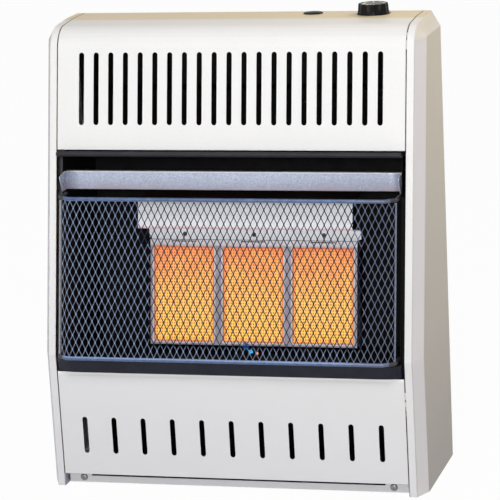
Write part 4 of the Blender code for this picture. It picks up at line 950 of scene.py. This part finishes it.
def make_deflector():
    """Folded bar with rolled edges and a wing at each end."""
    shape = bmesh.new()
    face, top, low = DEFLECTOR_DEPTH, DEFLECTOR_TOP, DEFLECTOR_BOTTOM
    half, roll = DEFLECTOR_HALF - DEFLECTOR_SHEET, DEFLECTOR_ROLL
    line = [(face - DEFLECTOR_FLANGE, top)]
    line += arc(face - roll, top - roll, roll, 90, 0, 4)
    line += arc(face - roll, low + roll, roll, 0, -90, 4)
    line.append((face - DEFLECTOR_HEM, low))
    rows = []
    for column in range(DEFLECTOR_COLUMNS + 1):
        x = half * (2 * column / DEFLECTOR_COLUMNS - 1)
        rows.append([shape.verts.new(point(x, depth, height)) for depth, height in line])
    skin(shape, rows)
    for patch in shape.faces:
        patch.smooth = True
    bmesh.ops.recalc_face_normals(shape, faces=shape.faces)
    front = max(shape.faces, key=lambda item: item.calc_area())
    if front.normal.y > 0:
        bmesh.ops.reverse_faces(shape, faces=shape.faces)
    mesh = mesh_from("deflector_bar", shape)
    bar = adopt("deflector_bar", mesh, "zinc", replaces=("deflector_hood",))
    sheet = bar.modifiers.new("sheet", "SOLIDIFY")
    sheet.thickness = DEFLECTOR_SHEET
    sheet.offset = -1.0
    for side, label in ((-1, "left"), (1, "right")):
        make_wing(side, label)


def wing_outline():
    """Outline of a wing in depth and height, with its corners rounded."""
    face, top, low = DEFLECTOR_DEPTH, DEFLECTOR_TOP, DEFLECTOR_BOTTOM
    outline = [(face - 0.0012, low + 0.0004), (face + 0.0165, low + 0.0002)]
    outline += [(face + 0.0275, top - 0.0030), (face + 0.0060, top), (face - 0.0012, top - 0.0002)]
    out = []
    places = [Vector((depth, height, 0)) for depth, height in outline]
    for index, corner in enumerate(places):
        before, after = places[index - 1], places[(index + 1) % len(places)]
        for place in filleted([before, corner, after], WING_CORNER, 3)[1:-1]:
            out.append((place.x, place.y))
    return out


def ring_points(depth, height, radius, tall, steps=16):
    """Outline of a round hole, or of an upright slot where tall is above zero."""
    out = []
    for step in range(steps):
        angle = 2 * math.pi * step / steps
        lift = tall if math.sin(angle) > 1e-6 else -tall
        out.append((depth + radius * math.cos(angle), height + lift + radius * math.sin(angle)))
    return out


def make_wing(side, label):
    """Wing with a slot and an eyeletted hole, and a red dab of sealant below it."""
    outer, inner = side * DEFLECTOR_HALF, side * (DEFLECTOR_HALF - DEFLECTOR_SHEET)
    inwards = Vector((-side, 0, 0))
    slot = ring_points(*WING_SLOT, WING_SLOT_RADIUS, WING_SLOT_HALF)
    holes = [slot, ring_points(*WING_HOLE, WING_HOLE_RADIUS, 0.0)]
    shape = bmesh.new()
    loops = []
    for outline in [wing_outline()] + holes:
        verts = [shape.verts.new(point(inner, depth, height)) for depth, height in outline]
        loops.append([shape.edges.new((a, b)) for a, b in zip(verts, verts[1:] + verts[:1])])
    edges = [edge for loop in loops for edge in loop]
    bmesh.ops.triangle_fill(shape, edges=edges, use_beauty=True, use_dissolve=False)
    made = bmesh.ops.extrude_face_region(shape, geom=list(shape.faces))
    for item in made["geom"]:
        if isinstance(item, bmesh.types.BMVert):
            item.co.x = outer
    soften(shaped("deflector_wing_" + label, shape, "zinc", slot="deflector_hood"), 0.00025)
    bore = WING_HOLE_RADIUS
    eyelet = [(bore, -0.0004), (bore, 0.0005), (bore + 0.0003, 0.0008)]
    eyelet += [(bore + 0.0008, 0.0006), (bore + 0.0011, 0.0)]
    centre = point(inner, *WING_HOLE)
    turned("deflector_eyelet_" + label, eyelet, centre, 24, inwards, "steel", slot="deflector_hood")
    dab = [(0.0, 0.0007), (0.0007, 0.0006), (0.0011, 0.0)]
    centre = point(inner, *WING_DAB)
    turned("deflector_dab_" + label, dab, centre, 16, inwards, "red", slot="ignition_lead")


# Burner


def tilted(x, out, up):
    """World place of a point in the burner's own frame."""
    turn = Matrix.Rotation(-BURNER_TILT, 3, "X")
    return BURNER_MID + turn @ Vector((x, -out, up))


def window_outline(grow):
    """Window's rounded outline across and up, grown by a distance."""
    out = []
    signs = ((-1, -1), (1, -1), (1, 1), (-1, 1))
    for corner, (across, up) in enumerate(signs):
        x, z = across * (WINDOW_HALF - WINDOW_CORNER), up * (WINDOW_HALF_TALL - WINDOW_CORNER)
        start = 90 * (corner - 2)
        out += arc(x, z - WINDOW_DROP, WINDOW_CORNER + grow, start, start + 90, 4)
    return out


def make_rims():
    """Pressed bead round each window of the burner's frame."""
    bead = [(0.0, 0.0), (0.0, FRAME_SHEET), (0.0004, 0.0022), (0.0014, 0.0026), (0.0024, 0.0022)]
    bead.append((0.0028, FRAME_SHEET))
    for label, middle in PLAQUES:
        shape = bmesh.new()
        rings = []
        for grow, out in bead:
            outline = window_outline(grow)
            rings.append([shape.verts.new(tilted(middle + x, out, z)) for x, z in outline])
        skin(shape, rings, closed=True)
        shaped("window_rim_" + label, shape, "rim", slot="burner_frame")


def make_plaques():
    """Ceramic tiles with a slightly dished, finely divided face behind each window."""
    for label, middle in PLAQUES:
        shape = bmesh.new()
        across, tall = 36, 52
        grid = []
        for row in range(tall + 1):
            line = []
            for column in range(across + 1):
                x = PLAQUE_HALF * (2 * column / across - 1)
                z = PLAQUE_HALF_TALL * (2 * row / tall - 1)
                edge = min(WINDOW_HALF - abs(x), WINDOW_HALF_TALL - abs(z))
                dip = DISH_DEPTH * min(1.0, max(0.0, edge / DISH_EDGE))
                line.append(shape.verts.new(tilted(middle + x, -CLEAR - dip, z - WINDOW_DROP)))
            grid.append(line)
        skin(shape, grid)
        rim = [edge for edge in shape.edges if edge.is_boundary]
        made = bmesh.ops.extrude_edge_only(shape, edges=rim)
        push = tilted(0, -PLAQUE_THICK, 0) - tilted(0, 0, 0)
        for item in made["geom"]:
            if isinstance(item, bmesh.types.BMVert):
                item.co += push
        loop = [edge for edge in shape.edges if edge.is_boundary]
        bmesh.ops.contextual_create(shape, geom=loop)
        shaped("glowing_tile_" + label, shape, "plaque", replaces=("plaque_" + label,))


def make_pilot_flame():
    """Small blue flame over the pilot head, a faint haze over it and an orange tip at the probe."""
    low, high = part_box("pilot_burner")
    centre = Vector(((low.x + high.x) / 2, (low.y + high.y) / 2, high.z))
    for name, look, place, wide, tall, lean in (
        ("pilot_flame", "flame", centre + Vector((0.0016, -0.005, -0.0006)), 0.0044, 0.0056, 0.35),
        ("pilot_flame_haze", "haze", centre + Vector((-0.0024, -0.004, 0.0030)), 0.0056, 0.0130, -0.30),
        ("pilot_flame_tip", "ember", centre + Vector((0.0098, -0.005, -0.0018)), 0.0026, 0.0042, 0.80),
    ):
        profile = []
        for step in range(11):
            share = step / 10
            radius = wide * math.sin(math.pi * share) ** 0.8 * (1 - 0.45 * share)
            profile.append((radius, tall * share))
        turned(name, profile, place, 20, Vector((lean, 0, 1)), look, slot="pilot_burner")


# Controls


def make_knob():
    """Scalloped knob, with a skirt, a sunk cap and raised setting marks."""
    centre = point(KNOB_X, KNOB_DEPTH, HEIGHT)
    steps = 8 * KNOB_SCALLOPS
    skirt, brow, foot, rise = KNOB_RADIUS, KNOB_TOP_RADIUS, -KNOB_SUNK, KNOB_RISE
    profile = [(KNOB_BORE, foot + KNOB_SOCKET), (KNOB_BORE, foot), (skirt - 0.0008, foot)]
    profile += [(skirt, foot + 0.0008), (skirt - 0.0001, 0.0010), (skirt - 0.0006, 0.0040)]
    profile += [(skirt - 0.0010, 0.0085), (brow + 0.0001, rise - 0.0014), (brow - 0.0003, rise - 0.0005)]
    profile += [(brow - 0.0012, rise - 0.0001), (brow - 0.0022, rise - 0.0002)]
    profile.append((brow - 0.0030, rise - 0.0008))
    shape = bmesh.new()
    rings = lathe(shape, profile, centre, steps)
    shape.faces.new(rings[-1])
    shape.faces.new(rings[0][::-1])
    for vert in shape.verts:
        spoke = vert.co - centre
        if spoke.z < 0.0012 or spoke.xy.length < brow - 0.0015:
            continue
        wave = abs(math.sin(KNOB_SCALLOPS / 2 * math.atan2(spoke.y, spoke.x)))
        depth = SCALLOP_DEPTH * (wave ** 0.7) * min(1.0, (spoke.z - 0.0010) / 0.003)
        keep = 1 - depth / spoke.xy.length
        vert.co.x, vert.co.y = centre.x + spoke.x * keep, centre.y + spoke.y * keep
    shaped("fluted_knob", shape, "black", body="knob", replaces=("control_knob",))
    radius = brow - 0.0029
    rise -= 0.0008
    cap = [(radius, rise), (radius - 0.0006, rise + 0.0003)]
    cap += [(radius * 0.5, rise + 0.0005), (0.0, rise + 0.0006)]
    turned("knob_cap", cap, centre, 72, UP, "cap", body="knob", slot="control_knob")
    make_knob_marks(centre + Vector((0, 0, rise)), radius)


def make_knob_marks(centre, radius):
    """Raised dashes round the cap and a long pointer."""
    shape = bmesh.new()
    for angle, start, wide in KNOB_MARKS:
        turn = Matrix.Rotation(math.radians(angle), 3, "Z")
        low = centre + Vector((radius * start, -wide / 2, 0.0))
        high = centre + Vector((radius * MARK_END, wide / 2, MARK_RISE))
        box_into(shape, low, high, turn, centre)
    marks = shaped("knob_marks", shape, "mark", smooth=False, body="knob", slot="control_knob")
    soften(marks, 0.0001)


def make_igniter():
    """Thin bezel and a low domed button, both turned finer than the solids."""
    centre = point(BUTTON_X, BUTTON_DEPTH, HEIGHT)
    top = BEZEL_TOP
    body = [(0.0, -0.0070), (0.0097, -0.0070), (0.0097, top - 0.0005), (0.0101, top)]
    body += [(0.0117, top), (0.0125, 0.0013), (0.0129, 0.0007), (0.0129, 0.0003)]
    body += [(0.0108, 0.0003), (0.0108, -0.0365), (0.0100, -0.0380), (0.0, -0.0380)]
    turned("igniter_body", body, centre, 64, UP, "black", replaces=("piezo_igniter",))
    dome = [(0.0, top + 0.0010), (0.0040, top + 0.00095), (0.0070, top + 0.00070)]
    dome += [(0.0086, top + 0.00040), (0.0092, top + 0.00010), (0.0094, top - 0.0004)]
    dome += [(0.0094, top - 0.0060), (0.0, top - 0.0060)]
    turned("igniter_push", dome, centre, 64, UP, "black", "igniter_button", ("igniter_button",))


# Screws


def recess_cutter(seat, out, radius, rise):
    """Cross that cuts the recess of a screw's head, pointing out of its seat."""
    shape = bmesh.new()
    wide, reach = radius * 0.17, radius * 0.56
    for across, along_slot in ((reach, wide), (wide, reach)):
        box_into(shape, (-across, -along_slot, rise * 0.30), (across, along_slot, rise * 1.5))
    spin = out.to_track_quat("Z", "Y").to_matrix() @ Matrix.Rotation(SCREW_SPIN, 3, "Z")
    for vert in shape.verts:
        vert.co = seat + spin @ vert.co
    return linked("recess", shape_mesh("recess", shape, smooth=False))


def make_screw(name, node, look, radius, rise):
    """Pan head with a cross recess, in front of the sheet that the solid's screw holds."""
    low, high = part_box(node)
    lean = math.atan(LOWER_LEAN) if look == "pan head" else 0.0
    out = Vector((0, -math.cos(lean), -math.sin(lean)))
    middle = (low + high) / 2
    seat = Vector((middle.x, low.y, middle.z)) - out * rise
    profile = [(radius * wide, rise * tall) for wide, tall in HEAD_SHARES]
    profile += [(radius * SHANK_SHARE, depth) for depth in (0.0, -0.0055)] + [(0.0, -0.0060)]
    screw = turned(name, profile, seat, 40, out, look, replaces=(node,))
    cutter = recess_cutter(seat, out, radius, rise)
    recess = screw.modifiers.new("recess", "BOOLEAN")
    recess.operation = "DIFFERENCE"
    recess.object = cutter
    recess.use_self = True
    recess.solver = "EXACT"
    finished = evaluated(screw)
    screw.modifiers.remove(recess)
    screw.data = finished
    finished.name = name
    bpy.data.objects.remove(cutter, do_unlink=True)
    smoothed(finished, 38)


# Small sheets


def make_sheet(name, ranges, side, look, slot, slant=False):
    """Thin sheet, mirrored where side is -1; a slanting one keeps to the front's line."""
    widths, depths, heights = ranges
    across = sorted(side * width for width in widths)
    shape = bmesh.new()
    box_into(shape, point(across[0], depths[1], heights[0]), point(across[1], depths[0], heights[1]))
    if slant:
        for vert in shape.verts:
            vert.co.y -= slope_depth(vert.co.z)
    shaped(name, shape, look, smooth=False, slot=slot)


def make_small_sheets():
    """Laps behind the rear seams, black as painted shade, folded returns at the foot and the liners' front
    edges, the right one black as painted shade.
    """
    make_sheet("rear_lap", REAR_LAP, 1, "soot_and_shade", "back_panel")
    # The right liner edge takes the black look as painted shade; the left one keeps its grey.
    for side, label, look in ((-1, "left", "edge"), (1, "right", "soot_and_shade")):
        make_sheet("hanger_lap_" + label, HANGER_LAP, side, "soot_and_shade", "hanger_plate_" + label)
        make_sheet("foot_return_" + label, FOOT_RETURN, side, "return", "side_panel_" + label)
        make_sheet("liner_edge_" + label, LINER_EDGE, side, look, "firebox_liner_" + label, slant=True)


# Finishes of the nodes that stay


KEPT = {
    "paint": ("side_panel_left", "side_panel_right", "upper_front_cover", "lower_front_panel"),
    "pan paint": ("base_pan",),
    "enamel": ("firebox_floor", "firebox_liner_left", "firebox_liner_right", "firebox_rear"),
    "rail": ("firebox_roof",),
    "apron": ("apron",),
    "strand": ("guard_end_wire_right",),
    "edge": ("guard_end_wire_left",),
    "rear": ("back_panel", "back_top_panel", "hanger_plate_left", "hanger_plate_right"),
    "box": ("burner_box",),
    "soot_and_shade": (
        "burner_bracket_left", "burner_bracket_right", "pilot_burner", "thermocouple", "spark_electrode",
        "valve_bracket", "regulator_stand", "venturi_tube",
    ),
    "pipe": ("pilot_tube", "supply_pipe", "burner_manifold", "thermocouple_lead", "gas_valve"),
    "band": ("burner_frame",),
    "strip": ("burner_clamp_strip",),
    "reflector": ("upper_reflector",),
    "steel": ("stem_washer",),
    "brass": ("valve_stem", "gas_inlet_fitting", "injector"),
    "cast": ("pressure_regulator",),
    "black": ("ignition_lead",),
}
ROUNDED = {
    0.0003: (
        "side_panel_left", "side_panel_right", "upper_front_cover", "lower_front_panel", "base_pan",
        "firebox_roof", "apron", "burner_clamp_strip", "upper_reflector",
    ),
    0.0002: (
        "burner_frame", "back_panel", "back_top_panel", "hanger_plate_left", "hanger_plate_right",
        "valve_bracket", "regulator_stand",
    ),
}


def dress_nodes():
    for look, names in KEPT.items():
        for name in names:
            node = NODES[name]
            for slot in node.material_slots:
                slot.material = LOOKS[look]
            if not node.material_slots:
                node.data.materials.append(LOOKS[look])
    for width, names in ROUNDED.items():
        for name in names:
            soften(NODES[name], width)


make_mesh_guard()
make_guard_rods()
make_deflector()
make_rims()
make_plaques()
make_pilot_flame()
make_knob()
make_igniter()
for side in ("left", "right"):
    make_screw("pan_screw_" + side, "base_screw_" + side, "pan head", *PAN_SCREW)
for label, _ in PLAQUES:
    make_screw("strip_screw_" + label, "clamp_screw_" + label, "screw", *STRIP_SCREW)
make_small_sheets()
dress_nodes()


bpy.context.view_layer.update()
